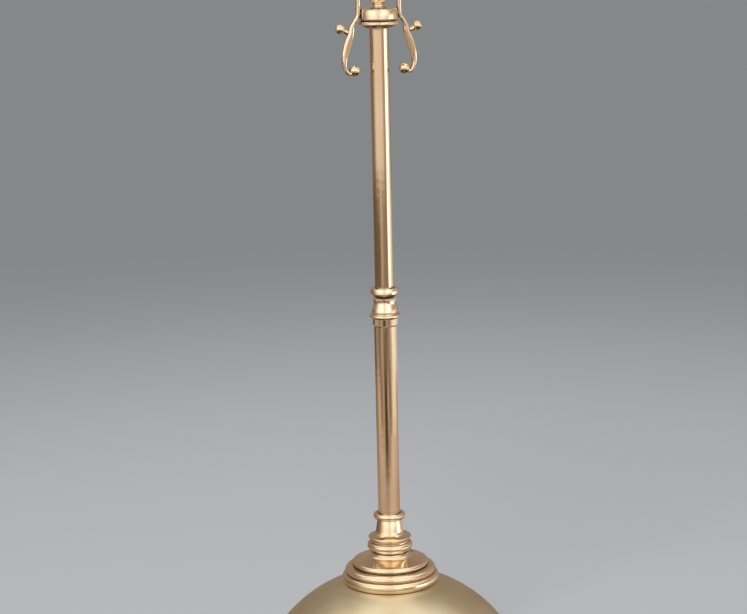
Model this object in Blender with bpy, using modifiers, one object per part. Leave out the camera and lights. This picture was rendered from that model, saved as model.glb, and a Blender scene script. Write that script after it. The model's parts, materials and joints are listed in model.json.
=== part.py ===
"""A telescopic brass Bible stand.

It has a weighted dome base, two sliding tubes, a scroll head and a tilting book rest. Sizes are written in
millimetres and become metres when a mesh is made. +Z is up, the reader stands on the -Y side, the scrolls
spread along X, and the stand's axis is the Z axis.
"""

import math

import bmesh
import bpy
from mathutils import Matrix, Vector

MM = 0.001
FIT_GAP = 0.3
SMALL_STEPS = 16
STEM_STEPS = 24
WIDE_STEPS = 36

# Base
DOME_SPHERE_R = 166.0
DOME_CENTRE_Z = -47.0
DOME_WALL = 1.6
DOME_EDGE_Z = 14.3
RIM_R = 165.0
RIM_BORE_R = 147.0
PAD_R = 146.5
PLATE_R = 146.5
PLATE_BOTTOM_Z = 6.0
PLATE_TOP_Z = 8.0
WEIGHT_R = 120.0
WEIGHT_TOP_Z = 24.0
WEIGHT_BOSS_TOP_Z = 40.0
PLATE_SCREW_RING_R = 70.0
PLATE_SCREW_R = 2.0
PLATE_SCREW_TOP_Z = 18.0
PLATE_SCREW_COUNT = 3
TIE_ROD_R = 5.0
TIE_ROD_HOLE_R = TIE_ROD_R + FIT_GAP
TIE_ROD_BOTTOM_Z = 12.0
TIE_ROD_TOP_Z = 212.0
NUT_SEAT_Z = 26.0
NUT_HEIGHT = 8.0
NUT_CORNER_R = 9.8
BASE_WASHER_R = 17.0
BASE_WASHER_THICKNESS = 2.2
SPACER_R = 9.0
SPACER_TOP_Z = 116.6
COLLAR_R = 56.0
COLLAR_BOTTOM_Z = 110.4
COLLAR_TOP_Z = 145.8
NECK_RING_TOP_Z = 162.2
VASE_TOP_Z = 185.2

# Lower tube and its clamp
LOWER_TUBE_R = 12.7
LOWER_TUBE_BORE_R = 11.1
LOWER_TUBE_BOTTOM_Z = 185.5
LOWER_TUBE_TOP_Z = 429.2
FERRULE_R = 18.5
FERRULE_TOP_Z = 192.7
GLAND_BOTTOM_Z = 415.2
GLAND_NECK_TOP_Z = 451.9
GLAND_NOSE_TOP_Z = 454.7
GLAND_NUT_TOP_Z = 459.8
GLAND_GUIDE_R = 10.9

# Upper tube
UPPER_TUBE_R = 10.75
UPPER_TUBE_BORE_R = 9.5
UPPER_TUBE_BOTTOM_Z = 330.0
UPPER_TUBE_TOP_Z = 754.7
UPPER_FOOT_BOTTOM_Z = 322.0

# Scroll head
HEAD_LIP_TOP_Z = 763.0
HEAD_RING_TOP_Z = 777.0
HEAD_RING_R = 21.6
BALUSTER_TOP_Z = 832.0
POST_R = 9.0
POST_TOP_Z = 905.0
HEAD_ROD_R = 3.0
HEAD_ROD_HOLE_R = HEAD_ROD_R + FIT_GAP
HEAD_ROD_BOTTOM_Z = 742.0
HEAD_ROD_TOP_Z = 930.0
ARM_THICKNESS = 4.4
ARM_DEPTH = 7.0
ARM_X = HEAD_RING_R + FIT_GAP + ARM_THICKNESS / 2
ARM_SWELL = 4.6
ARM_BELLY_Z = 738.0
ARM_BELLY_REACH = 23.0
ARM_PIN_Z = 772.0
ARM_PIN_R = 2.0
CURL_BALL_CENTRE = (29.0, 708.6)
CURL_BALL_R = 6.3
OUTER_BALL_CENTRE = (44.8, 755.5)
OUTER_BALL_R = 5.8
OUTER_STEM_FOOT = (37.0, 751.5)
OUTER_STEM_R = 2.4
INNER_BALL_CENTRE = (64.5, 850.0)
INNER_BALL_R = 6.5
NUB_X = 73.0
NUB_BALL_Z = 811.0
NUB_BALL_R = 4.6
NUB_STEM_R = 1.9
NUB_STEM_TOP_Z = 831.0

# Tilting head and book rest
PIVOT_Z = 964.0
TILT_BOLT_R = 3.0
TILT_BOLT_HALF = 38.0
TILT_BOLT_HOLE_R = TILT_BOLT_R + FIT_GAP
URN_R = 24.5
CHEEK_INNER_X = URN_R + 0.9
CHEEK_THICKNESS = 4.0
CHEEK_WIDTH = 16.0
WASHER_THICKNESS = 0.8
WASHER_R = 7.5
KNOB_BALL_X = 42.5
KNOB_BALL_R = 6.5
KNOB_NECK_R = 4.8
KNOB_FOOT_R = 6.6
DESK_SLOPE = math.radians(55.0)
DESK_FRONT = 42.0
DESK_THICKNESS = 3.0
DESK_HALF_WIDTH = 165.0
DESK_LOW = -118.0
DESK_HIGH = 132.0
DESK_BORDER = 12.0
DESK_BAR_HALF = 9.0
CROSSBAR_HALF = 33.0
LEDGE_DEPTH = 32.0
LEDGE_LIP = 14.0
LEDGE_THICKNESS = 3.0
LEDGE_HALF_LENGTH = 160.0
CROSSBAR_DEPTH = 4.0
DESK_SCROLL_THICKNESS = 4.0
REST_SCREW_R = 1.6
REST_SCREW_OFFSET = 4.6

FINISHES = {
    "polished_brass": ((0.80, 0.60, 0.34), 0.16, 1.0),
    "satin_brass": ((0.74, 0.61, 0.38), 0.36, 1.0),
    "cast_iron": ((0.10, 0.10, 0.11), 0.75, 0.6),
    "steel": ((0.52, 0.53, 0.55), 0.35, 1.0),
    "baize": ((0.05, 0.16, 0.08), 0.95, 0.0),
    "fibre": ((0.24, 0.13, 0.07), 0.80, 0.0),
}


def clear_scene():
    """Start from an empty scene."""
    for obj in list(bpy.data.objects):
        bpy.data.objects.remove(obj, do_unlink=True)


def new_collection(name):
    """Make a collection in the scene."""
    group = bpy.data.collections.new(name)
    bpy.context.scene.collection.children.link(group)
    return group


def finish_material(node_name, finish):
    """Give each piece its own Principled material."""
    colour, roughness, metallic = FINISHES[finish]
    material = bpy.data.materials.new(node_name + "_" + finish)
    material.use_nodes = True
    shader = material.node_tree.nodes["Principled BSDF"]
    shader.inputs["Base Color"].default_value = (*colour, 1.0)
    shader.inputs["Roughness"].default_value = roughness
    shader.inputs["Metallic"].default_value = metallic
    return material


def add_piece(name, mesh, finish, parent=None):
    """Put a mesh into the stand's collection as a named, finished piece."""
    piece = bpy.data.objects.new(name, mesh)
    PARTS.objects.link(piece)
    mesh.materials.clear()
    mesh.materials.append(finish_material(name, finish))
    piece.parent = parent
    return piece


def add_empty(name, location, parent=None, rotation=(0.0, 0.0, 0.0)):
    """Place an empty that marks an axis, for pieces to hang from."""
    empty = bpy.data.objects.new(name, None)
    PARTS.objects.link(empty)
    empty.location = Vector(location) * MM
    empty.rotation_euler = rotation
    empty.empty_display_size = 0.03
    empty.parent = parent
    return empty


def arc(centre, radius, start_deg, end_deg, count):
    """Points of an arc in the profile plane, from the start angle to the end angle."""
    points = []
    for i in range(count + 1):
        angle = math.radians(start_deg + (end_deg - start_deg) * i / count)
        points.append((centre[0] + radius * math.cos(angle), centre[1] + radius * math.sin(angle)))
    return points


def dome_arc(radius, start_r, end_r, count):
    """Points on the dome's sphere between two distances from the axis."""
    start = math.acos(start_r / radius)
    end = math.acos(end_r / radius)
    points = []
    for i in range(count + 1):
        angle = start + (end - start) * i / count
        points.append((radius * math.cos(angle), DOME_CENTRE_Z + radius * math.sin(angle)))
    return points


def screw_profile(mesh, profile, closed):
    """Write a profile, in the XZ plane, as a chain of edges."""
    verts = [(x * MM, 0.0, z * MM) for x, z in profile]
    edges = [(i, i + 1) for i in range(len(verts) - 1)]
    if closed:
        edges.append((len(verts) - 1, 0))
    mesh.from_pydata(verts, edges, [])


def turned(name, profile, finish, parent=None, closed=True, steps=STEM_STEPS):
    """Turn a profile about Z. It runs down the outer side, and a closed one returns up the bore."""
    mesh = bpy.data.meshes.new(name)
    screw_profile(mesh, profile, closed)
    piece = add_piece(name, mesh, finish, parent)
    screw = piece.modifiers.new("turn", "SCREW")
    screw.axis = "Z"
    screw.angle = math.tau
    screw.steps = steps
    screw.render_steps = steps
    screw.use_merge_vertices = True
    screw.merge_threshold = 0.00001
    screw.use_smooth_shade = True
    return piece


def sleeve(name, inner_r, outer_r, bottom_z, top_z, finish, parent=None, steps=STEM_STEPS):
    """A plain tube or washer."""
    profile = [(outer_r, top_z), (outer_r, bottom_z), (inner_r, bottom_z), (inner_r, top_z)]
    return turned(name, profile, finish, parent, steps=steps)


def rod(name, radius, bottom_z, top_z, finish, parent=None):
    """A plain solid rod on the Z axis."""
    profile = [(0.0, top_z), (radius, top_z), (radius, bottom_z), (0.0, bottom_z)]
    return turned(name, profile, finish, parent, closed=False, steps=SMALL_STEPS)


def ball(name, centre, radius, finish, parent):
    """A plain ball in the plane of the scrolls."""
    mesh = bpy.data.meshes.new(name)
    bm = bmesh.new()
    bmesh.ops.create_uvsphere(bm, u_segments=14, v_segments=8, radius=radius * MM)
    bm.to_mesh(mesh)
    bm.free()
    piece = add_piece(name, mesh, finish, parent)
    piece.location = Vector((centre[0], 0.0, centre[1])) * MM
    return piece


def cutter_cylinder(name, radius, length, centre, axis, parent=None):
    """A hidden cylinder for drilling holes."""
    mesh = bpy.data.meshes.new(name)
    bm = bmesh.new()
    bmesh.ops.create_cone(
        bm, cap_ends=True, segments=16, radius1=radius * MM, radius2=radius * MM, depth=length * MM
    )
    turn = Vector((0.0, 0.0, 1.0)).rotation_difference(Vector(axis)).to_matrix().to_4x4()
    bmesh.ops.transform(bm, matrix=Matrix.Translation(Vector(centre) * MM) @ turn, verts=bm.verts)
    bm.to_mesh(mesh)
    bm.free()
    cutter = bpy.data.objects.new(name, mesh)
    CUTTERS.objects.link(cutter)
    cutter.parent = parent
    cutter.hide_render = True
    cutter.display_type = "WIRE"
    return cutter


def drill(piece, cutter):
    """Cut one hole with an exact Boolean."""
    cut = piece.modifiers.new("drill_" + cutter.name, "BOOLEAN")
    cut.operation = "DIFFERENCE"
    cut.solver = "EXACT"
    cut.object = cutter


def smooth_path(points, per_span=3):
    """A Catmull-Rom curve through the given points."""
    ends = [points[0]] + list(points) + [points[-1]]
    path = []
    for i in range(1, len(ends) - 2):
        p0, p1, p2, p3 = (Vector(ends[i + k]) for k in (-1, 0, 1, 2))
        for step in range(per_span):
            t = step / per_span
            bend = (2 * p0 - 5 * p1 + 4 * p2 - p3) * t * t + (3 * p1 - p0 - 3 * p2 + p3) * t * t * t
            path.append(p1 + 0.5 * ((p2 - p0) * t + bend))
    path.append(Vector(ends[-2]))
    return path


def strip_outline(path, widths):
    """The closed outline of a strip along a path, with its width at each point."""
    left, right = [], []
    for i, (point, width) in enumerate(zip(path, widths)):
        before = path[max(i - 1, 0)]
        after = path[min(i + 1, len(path) - 1)]
        along = (after - before).normalized()
        side = Vector((-along.y, along.x)) * width / 2
        left.append(point + side)
        right.append(point - side)
    return left + right[::-1]


def flat_solid(name, outlines, depth, finish, parent, matrix):
    """Fill flat outlines, inner ones as holes, give them an even depth and weld them into one mesh."""
    curve = bpy.data.curves.new(name, "CURVE")
    curve.dimensions = "2D"
    curve.fill_mode = "BOTH"
    curve.extrude = depth / 2 * MM
    for outline in outlines:
        spline = curve.splines.new("POLY")
        spline.points.add(len(outline) - 1)
        for point, place in zip(spline.points, outline):
            point.co = (place[0] * MM, place[1] * MM, 0.0, 1.0)
        spline.use_cyclic_u = True
    source = bpy.data.objects.new(name + "_outline", curve)
    PARTS.objects.link(source)
    source.matrix_world = matrix
    bpy.context.view_layer.update()
    graph = bpy.context.evaluated_depsgraph_get()
    mesh = bpy.data.meshes.new_from_object(source.evaluated_get(graph))
    bm = bmesh.new()
    bm.from_mesh(mesh)
    bmesh.ops.remove_doubles(bm, verts=bm.verts, dist=0.000001)
    bmesh.ops.recalc_face_normals(bm, faces=bm.faces)
    bm.to_mesh(mesh)
    bm.free()
    piece = add_piece(name, mesh, finish, parent)
    piece.matrix_basis = source.matrix_world.copy()
    bpy.data.objects.remove(source, do_unlink=True)
    return piece


def scroll_strip(name, points, side, swell, finish, parent):
    """A flat strip bent along a path in the XZ plane, on the side given by -1 or 1, swelling at the belly."""
    path = [Vector((point.x * side, point.y)) for point in smooth_path(points)]
    belly = [max(0.0, 1.0 - ((point.y - ARM_BELLY_Z) / ARM_BELLY_REACH) ** 2) for point in path]
    widths = [ARM_THICKNESS + swell * share for share in belly]
    upright = Matrix.Rotation(math.radians(90.0), 4, "X")
    return flat_solid(name, [strip_outline(path, widths)], ARM_DEPTH, finish, parent, upright)


def make_foot():
    """Rim, pad and closing plate with its screws."""
    seat_z = DOME_EDGE_Z - FIT_GAP
    rim = [(157.4, 18.5), (158.8, 17.6), (159.6, 14.4), (162.2, 12.2), (164.2, 9.8), (RIM_R, 6.6)]
    rim += [(164.4, 2.6), (162.6, 0.0), (RIM_BORE_R, 0.0), (RIM_BORE_R, seat_z), (155.2, seat_z)]
    rim += [(155.2, 17.6)]
    turned("foot_rim", rim, "polished_brass", steps=WIDE_STEPS)
    pad = [(0.0, 3.2), (PAD_R, 3.2), (PAD_R, 0.4), (0.0, 0.4)]
    turned("baize_pad", pad, "baize", closed=False, steps=WIDE_STEPS)
    plate_profile = [(0.0, PLATE_TOP_Z), (PLATE_R, PLATE_TOP_Z)]
    plate_profile += [(PLATE_R, PLATE_BOTTOM_Z), (0.0, PLATE_BOTTOM_Z)]
    plate = turned("base_plate", plate_profile, "steel", closed=False, steps=WIDE_STEPS)
    weight = make_weight()
    head_r = 2 * PLATE_SCREW_R
    head_z = PLATE_BOTTOM_Z - FIT_GAP
    for i in range(PLATE_SCREW_COUNT):
        angle = math.tau * i / PLATE_SCREW_COUNT
        x = PLATE_SCREW_RING_R * math.cos(angle)
        y = PLATE_SCREW_RING_R * math.sin(angle)
        hole_name = f"plate_screw_hole_{i + 1}"
        hole = cutter_cylinder(hole_name, PLATE_SCREW_R + FIT_GAP, 17.0, (x, y, 11.5), (0, 0, 1))
        drill(plate, hole)
        drill(weight, hole)
        profile = [(0.0, PLATE_SCREW_TOP_Z), (PLATE_SCREW_R, PLATE_SCREW_TOP_Z)]
        profile += [(PLATE_SCREW_R, head_z), (head_r, head_z)]
        profile += [(head_r * 0.8, head_z - 1.6), (0.0, head_z - 1.9)]
        screw = turned(f"plate_screw_{i + 1}", profile, "steel", closed=False, steps=12)
        screw.location = Vector((x, y, 0.0)) * MM


def make_weight():
    """The cast ballast disc inside the dome, with a seat for the nut below and a boss above."""
    bottom_z = PLATE_TOP_Z + FIT_GAP
    profile = [(TIE_ROD_HOLE_R, WEIGHT_BOSS_TOP_Z), (26.0, WEIGHT_BOSS_TOP_Z), (32.0, WEIGHT_TOP_Z + 4.0)]
    profile += [(WEIGHT_R - 8.0, WEIGHT_TOP_Z), (WEIGHT_R, WEIGHT_TOP_Z - 6.0), (WEIGHT_R, bottom_z)]
    profile += [(22.0, bottom_z), (22.0, NUT_SEAT_Z), (TIE_ROD_HOLE_R, NUT_SEAT_Z)]
    return turned("base_weight", profile, "cast_iron", steps=WIDE_STEPS)


def make_tie_rod():
    """The rod that pulls the whole foot together, with its nut, washer and spacer."""
    rod("tie_rod", TIE_ROD_R, TIE_ROD_BOTTOM_Z, TIE_ROD_TOP_Z, "steel")
    hole_r = TIE_ROD_HOLE_R
    washer_top = NUT_SEAT_Z - FIT_GAP
    washer_low = washer_top - BASE_WASHER_THICKNESS
    sleeve("base_washer", hole_r, BASE_WASHER_R, washer_low, washer_top, "steel", steps=SMALL_STEPS)
    nut_top = washer_low - FIT_GAP
    nut_middle = Matrix.Translation(Vector((0.0, 0.0, nut_top - NUT_HEIGHT / 2)) * MM)
    hexagon = arc((0.0, 0.0), NUT_CORNER_R, 0.0, 300.0, 5)
    hole = arc((0.0, 0.0), hole_r, 0.0, 345.0, 23)
    flat_solid("base_nut", [hexagon, hole], NUT_HEIGHT, "steel", None, nut_middle)
    spacer_low = WEIGHT_BOSS_TOP_Z + FIT_GAP
    sleeve("rod_spacer", hole_r, SPACER_R, spacer_low, SPACER_TOP_Z, "steel", steps=SMALL_STEPS)


def make_dome():
    """The spun dome: a thin shell with a hole for the tie rod at its crown."""
    edge_r = math.sqrt(DOME_SPHERE_R**2 - (DOME_EDGE_Z - DOME_CENTRE_Z) ** 2)
    inner_sphere = DOME_SPHERE_R - DOME_WALL
    inner_edge_r = math.sqrt(inner_sphere**2 - (DOME_EDGE_Z - DOME_CENTRE_Z) ** 2)
    outer = dome_arc(DOME_SPHERE_R, 7.0, edge_r, 10)
    inner = dome_arc(inner_sphere, inner_edge_r, 7.0, 8)
    turned("base_dome", outer + inner, "satin_brass", steps=WIDE_STEPS)


def make_neck():
    """Stepped collar, astragal ring, flared vase and ferrule that carry the lower tube."""
    collar = [(TIE_ROD_HOLE_R, COLLAR_TOP_Z), (21.5, COLLAR_TOP_Z), (22.8, 143.2), (27.0, 140.4)]
    collar += [(33.0, 138.4), (40.0, 136.4), (43.2, 134.8), (44.2, 132.6), (43.6, 130.4)]
    collar += [(46.6, 129.6), (50.8, 128.0), (52.6, 125.6), (52.6, 123.2), (52.0, 121.8)]
    collar += [(54.4, 120.6), (55.8, 118.0), (COLLAR_R, 115.2), (55.4, 112.4), (54.8, COLLAR_BOTTOM_Z)]
    collar += dome_arc(DOME_SPHERE_R + FIT_GAP, 54.0, TIE_ROD_HOLE_R, 8)
    turned("base_collar", collar, "polished_brass", steps=WIDE_STEPS)

    ring_bottom = COLLAR_TOP_Z + FIT_GAP
    ring = [(TIE_ROD_HOLE_R, NECK_RING_TOP_Z), (23.4, NECK_RING_TOP_Z), (22.2, 160.2), (22.3, 158.4)]
    ring += arc((21.4, 153.2), 4.9, 75.0, -75.0, 7)
    ring += [(21.2, 147.4), (20.6, ring_bottom), (TIE_ROD_HOLE_R, ring_bottom)]
    turned("neck_ring", ring, "polished_brass", steps=STEM_STEPS)

    vase_bottom = NECK_RING_TOP_Z + FIT_GAP
    vase = [(TIE_ROD_HOLE_R, VASE_TOP_Z), (13.8, VASE_TOP_Z), (14.5, 181.0), (15.4, 175.0), (16.0, 170.8)]
    vase += [(17.4, 167.6), (20.6, 165.6), (23.8, 164.8), (24.8, 163.9), (24.4, vase_bottom)]
    vase += [(TIE_ROD_HOLE_R, vase_bottom)]
    turned("neck_vase", vase, "polished_brass")

    bore = LOWER_TUBE_R + FIT_GAP
    ferrule = [(bore, FERRULE_TOP_Z), (16.6, FERRULE_TOP_Z), (FERRULE_R - 0.4, 191.4), (FERRULE_R, 189.2)]
    ferrule += [(FERRULE_R - 0.4, 187.0), (16.6, LOWER_TUBE_BOTTOM_Z), (bore, LOWER_TUBE_BOTTOM_Z)]
    turned("tube_ferrule", ferrule, "polished_brass")


def make_lower_tube():
    """The fixed lower tube, with the threaded plug that the tie rod screws into."""
    bottom = LOWER_TUBE_BOTTOM_Z
    sleeve("lower_tube", LOWER_TUBE_BORE_R, LOWER_TUBE_R, bottom, LOWER_TUBE_TOP_Z, "polished_brass")
    plug_r = LOWER_TUBE_BORE_R - FIT_GAP
    thread_top = TIE_ROD_TOP_Z + FIT_GAP
    plug = [(0.0, 216.0), (plug_r, 216.0), (plug_r, bottom), (TIE_ROD_HOLE_R, bottom)]
    plug += [(TIE_ROD_HOLE_R, thread_top), (0.0, thread_top)]
    turned("lower_tube_plug", plug, "polished_brass", closed=False, steps=SMALL_STEPS)


def make_gland():
    """The clamp between the tubes: flanged body, screwed nut and split collet."""
    socket_r = LOWER_TUBE_R + FIT_GAP
    socket_top = LOWER_TUBE_TOP_Z + FIT_GAP
    body = [(GLAND_GUIDE_R, GLAND_NOSE_TOP_Z), (12.1, GLAND_NOSE_TOP_Z), (12.1, GLAND_NECK_TOP_Z)]
    body += [(14.6, GLAND_NECK_TOP_Z), (12.6, 447.8), (12.5, 446.8), (12.8, 442.6), (13.4, 439.2)]
    body += [(14.5, 435.6), (14.9, 432.4), (14.4, 429.8), (16.6, 429.2), (17.6, 427.8), (17.6, 425.6)]
    body += [(16.8, 424.4), (14.6, 423.8), (14.3, 419.2), (13.8, GLAND_BOTTOM_Z)]
    body += [(socket_r, GLAND_BOTTOM_Z), (socket_r, socket_top), (GLAND_GUIDE_R, socket_top)]
    turned("gland_body", body, "polished_brass")

    nut_bottom = GLAND_NECK_TOP_Z + FIT_GAP
    nut = [(11.1, GLAND_NUT_TOP_Z), (14.8, GLAND_NUT_TOP_Z), (16.0, 458.6), (16.3, 456.1), (16.0, 453.5)]
    nut += [(14.9, nut_bottom), (12.5, nut_bottom), (12.5, 458.4), (11.1, 458.4)]
    turned("gland_nut", nut, "polished_brass")

    collet_profile = [(10.95, 458.1), (11.6, 458.1), (12.1, 455.0), (10.95, 455.0)]
    collet = turned("gland_collet", collet_profile, "fibre")
    drill(collet, cutter_cylinder("collet_split", 0.6, 6.0, (11.5, 0.0, 456.5), (0, 0, 1)))


def make_upper_tube(column):
    """The sliding upper tube, with a stop at its foot and a plug at its top."""
    bottom, top = UPPER_TUBE_BOTTOM_Z, UPPER_TUBE_TOP_Z
    sleeve("upper_tube", UPPER_TUBE_BORE_R, UPPER_TUBE_R, bottom, top, "polished_brass", column)
    plug_r = UPPER_TUBE_BORE_R - FIT_GAP
    flange_r = UPPER_TUBE_R + 0.2
    flange_top = bottom - FIT_GAP
    foot = [(0.0, 352.0), (plug_r, 352.0), (plug_r, flange_top), (flange_r, flange_top)]
    foot += [(flange_r, UPPER_FOOT_BOTTOM_Z), (0.0, UPPER_FOOT_BOTTOM_Z)]
    turned("upper_tube_foot", foot, "polished_brass", column, closed=False, steps=SMALL_STEPS)
    hole = HEAD_ROD_HOLE_R
    sleeve("upper_tube_plug", hole, plug_r, 734.0, top, "polished_brass", column, steps=SMALL_STEPS)


def make_head_post(column):
    """Lip, ring, baluster, post and rod of the scroll head, from the tube to the urn."""
    hole = HEAD_ROD_HOLE_R
    lip_bottom = UPPER_TUBE_TOP_Z + FIT_GAP
    lip = [(hole, HEAD_LIP_TOP_Z), (20.8, HEAD_LIP_TOP_Z), (22.4, 761.4), (22.6, 759.6), (21.6, 757.8)]
    lip += [(18.4, 756.2), (14.2, lip_bottom), (hole, lip_bottom)]
    turned("head_lip", lip, "polished_brass", column)

    ring_bottom = HEAD_LIP_TOP_Z + FIT_GAP
    ring = [(hole, HEAD_RING_TOP_Z), (18.8, HEAD_RING_TOP_Z), (20.8, 775.8), (HEAD_RING_R, 773.4)]
    ring += [(HEAD_RING_R, 766.8), (20.8, 764.4), (19.6, ring_bottom), (hole, ring_bottom)]
    ring_piece = turned("head_ring", ring, "polished_brass", column)

    foot_z = HEAD_RING_TOP_Z + FIT_GAP
    baluster = [(hole, BALUSTER_TOP_Z), (9.6, BALUSTER_TOP_Z), (11.6, 830.6), (11.6, 828.6), (9.4, 827.2)]
    baluster += [(7.4, 825.0), (7.8, 818.0), (9.6, 809.6), (11.8, 801.8), (12.5, 795.0), (11.8, 789.4)]
    baluster += [(9.4, 783.8), (6.4, 780.6), (6.8, 778.8), (9.0, foot_z), (hole, foot_z)]
    turned("head_baluster", baluster, "polished_brass", column, steps=SMALL_STEPS)

    post_low = BALUSTER_TOP_Z + FIT_GAP
    sleeve("head_post", hole, POST_R, post_low, POST_TOP_Z, "polished_brass", column, steps=SMALL_STEPS)
    rod("head_rod", HEAD_ROD_R, HEAD_ROD_BOTTOM_Z, HEAD_ROD_TOP_Z, "steel", column)
    return ring_piece


def make_urn(column):
    """The domed urn at the top of the post, bored across for the tilt bolt."""
    foot_z = POST_TOP_Z + FIT_GAP
    socket_top = HEAD_ROD_TOP_Z + FIT_GAP
    urn = [(0.0, 994.6), (6.0, 993.8), (12.4, 990.8), (18.2, 985.0), (22.0, 977.4), (22.8, 972.4)]
    urn += [(URN_R, 971.0), (URN_R, 957.0), (23.0, 951.4), (20.6, 941.0), (17.2, 931.4), (13.8, 922.6)]
    urn += [(11.2, 915.2), (10.6, 912.6), (13.4, 911.2), (14.0, 908.8), (13.2, foot_z)]
    urn += [(HEAD_ROD_HOLE_R, foot_z), (HEAD_ROD_HOLE_R, socket_top), (0.0, socket_top)]
    piece = turned("head_urn", urn, "polished_brass", column, closed=False)
    bore = cutter_cylinder("urn_cross_bore", TILT_BOLT_HOLE_R, 60.0, (0, 0, PIVOT_Z), (1, 0, 0), column)
    drill(piece, bore)


def make_side_scrolls(column, ring, side, label):
    """One side's scrolls: the S arm pinned to the ring, the big C scroll above it, and their balls."""
    low_end = (CURL_BALL_CENTRE[0] + CURL_BALL_R + FIT_GAP + 1.35, CURL_BALL_CENTRE[1] - 2.4)
    arm_points = [low_end, (39.6, 709.8), (40.8, 716.5), (40.0, 725.0), (38.1, 732.8), (35.8, 740.2)]
    arm_points += [(33.4, 746.6), (32.0, 752.0), (31.1, 757.4), (28.4, 762.8), (25.2, 767.6), (ARM_X, 772.6)]
    arm_points += [(ARM_X, 790.0), (27.4, 804.0), (37.0, 815.6), (52.0, 821.6), (66.0, 822.9), (77.5, 823.1)]
    arm = scroll_strip("scroll_arm_" + label, arm_points, side, ARM_SWELL, "polished_brass", column)

    c_points = [(21.4, 940.0), (48.0, 941.4), (82.0, 938.0), (108.0, 922.0), (122.6, 898.0), (125.0, 874.0)]
    c_points += [(117.0, 851.0), (101.0, 834.6), (84.0, 828.4), (70.0, 829.4), (60.8, 834.6), (58.2, 841.2)]
    c_scroll = scroll_strip("c_scroll_" + label, c_points, side, 0.0, "polished_brass", column)

    pin_middle = (side * ARM_X, 0.0, ARM_PIN_Z)
    hole_name = "arm_pin_hole_" + label
    pin_hole = cutter_cylinder(hole_name, ARM_PIN_R + FIT_GAP, 14.0, pin_middle, (1, 0, 0), column)
    drill(arm, pin_hole)
    drill(ring, pin_hole)
    pin = turned(
        "arm_pin_" + label,
        [(0.0, 3.8), (ARM_PIN_R, 3.6), (ARM_PIN_R, -3.8), (0.0, -3.8)],
        "polished_brass",
        column,
        closed=False,
        steps=12,
    )
    pin.location = Vector((side * (ARM_X - 1.6), 0.0, ARM_PIN_Z)) * MM
    pin.rotation_euler = (0.0, side * math.radians(90.0), 0.0)

    curl_centre = (side * CURL_BALL_CENTRE[0], CURL_BALL_CENTRE[1])
    ball("curl_ball_" + label, curl_centre, CURL_BALL_R, "polished_brass", column)
    inner_centre = (side * INNER_BALL_CENTRE[0], INNER_BALL_CENTRE[1])
    ball("inner_ball_" + label, inner_centre, INNER_BALL_R, "polished_brass", column)
    make_outer_ball(column, side, label)
    make_nub(column, arm, c_scroll, side, label)


def make_outer_ball(column, side, label):
    """A small ball on a slanting stem, outside the S arm."""
    centre = Vector((side * OUTER_BALL_CENTRE[0], 0.0, OUTER_BALL_CENTRE[1]))
    foot = Vector((side * OUTER_STEM_FOOT[0], 0.0, OUTER_STEM_FOOT[1]))
    length = (centre - foot).length
    join_z = -math.sqrt(OUTER_BALL_R**2 - OUTER_STEM_R**2)
    join_deg = math.degrees(math.asin(join_z / OUTER_BALL_R))
    profile = arc((0.0, 0.0), OUTER_BALL_R, 90.0, join_deg, 6)
    profile[0] = (0.0, OUTER_BALL_R)
    profile += [(OUTER_STEM_R, -length), (0.0, -length)]
    piece = turned("outer_ball_" + label, profile, "polished_brass", column, closed=False, steps=14)
    piece.location = centre * MM
    piece.rotation_euler = Vector((0.0, 0.0, 1.0)).rotation_difference(centre - foot).to_euler()


def make_nub(column, arm, c_scroll, side, label):
    """The ball-headed rivet that joins the S arm to the underside of the C scroll."""
    centre = (side * NUB_X, 0.0, 825.0)
    hole = cutter_cylinder("nub_hole_" + label, NUB_STEM_R + FIT_GAP, 22.0, centre, (0, 0, 1), column)
    drill(arm, hole)
    drill(c_scroll, hole)
    join_z = math.sqrt(NUB_BALL_R**2 - NUB_STEM_R**2)
    join_deg = math.degrees(math.asin(join_z / NUB_BALL_R))
    profile = [(0.0, NUB_STEM_TOP_Z - NUB_BALL_Z), (NUB_STEM_R, NUB_STEM_TOP_Z - NUB_BALL_Z)]
    profile += arc((0.0, 0.0), NUB_BALL_R, join_deg, -90.0, 6)
    profile[-1] = (0.0, -NUB_BALL_R)
    piece = turned("scroll_nub_" + label, profile, "polished_brass", column, closed=False, steps=14)
    piece.location = Vector((side * NUB_X, 0.0, NUB_BALL_Z)) * MM


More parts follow.
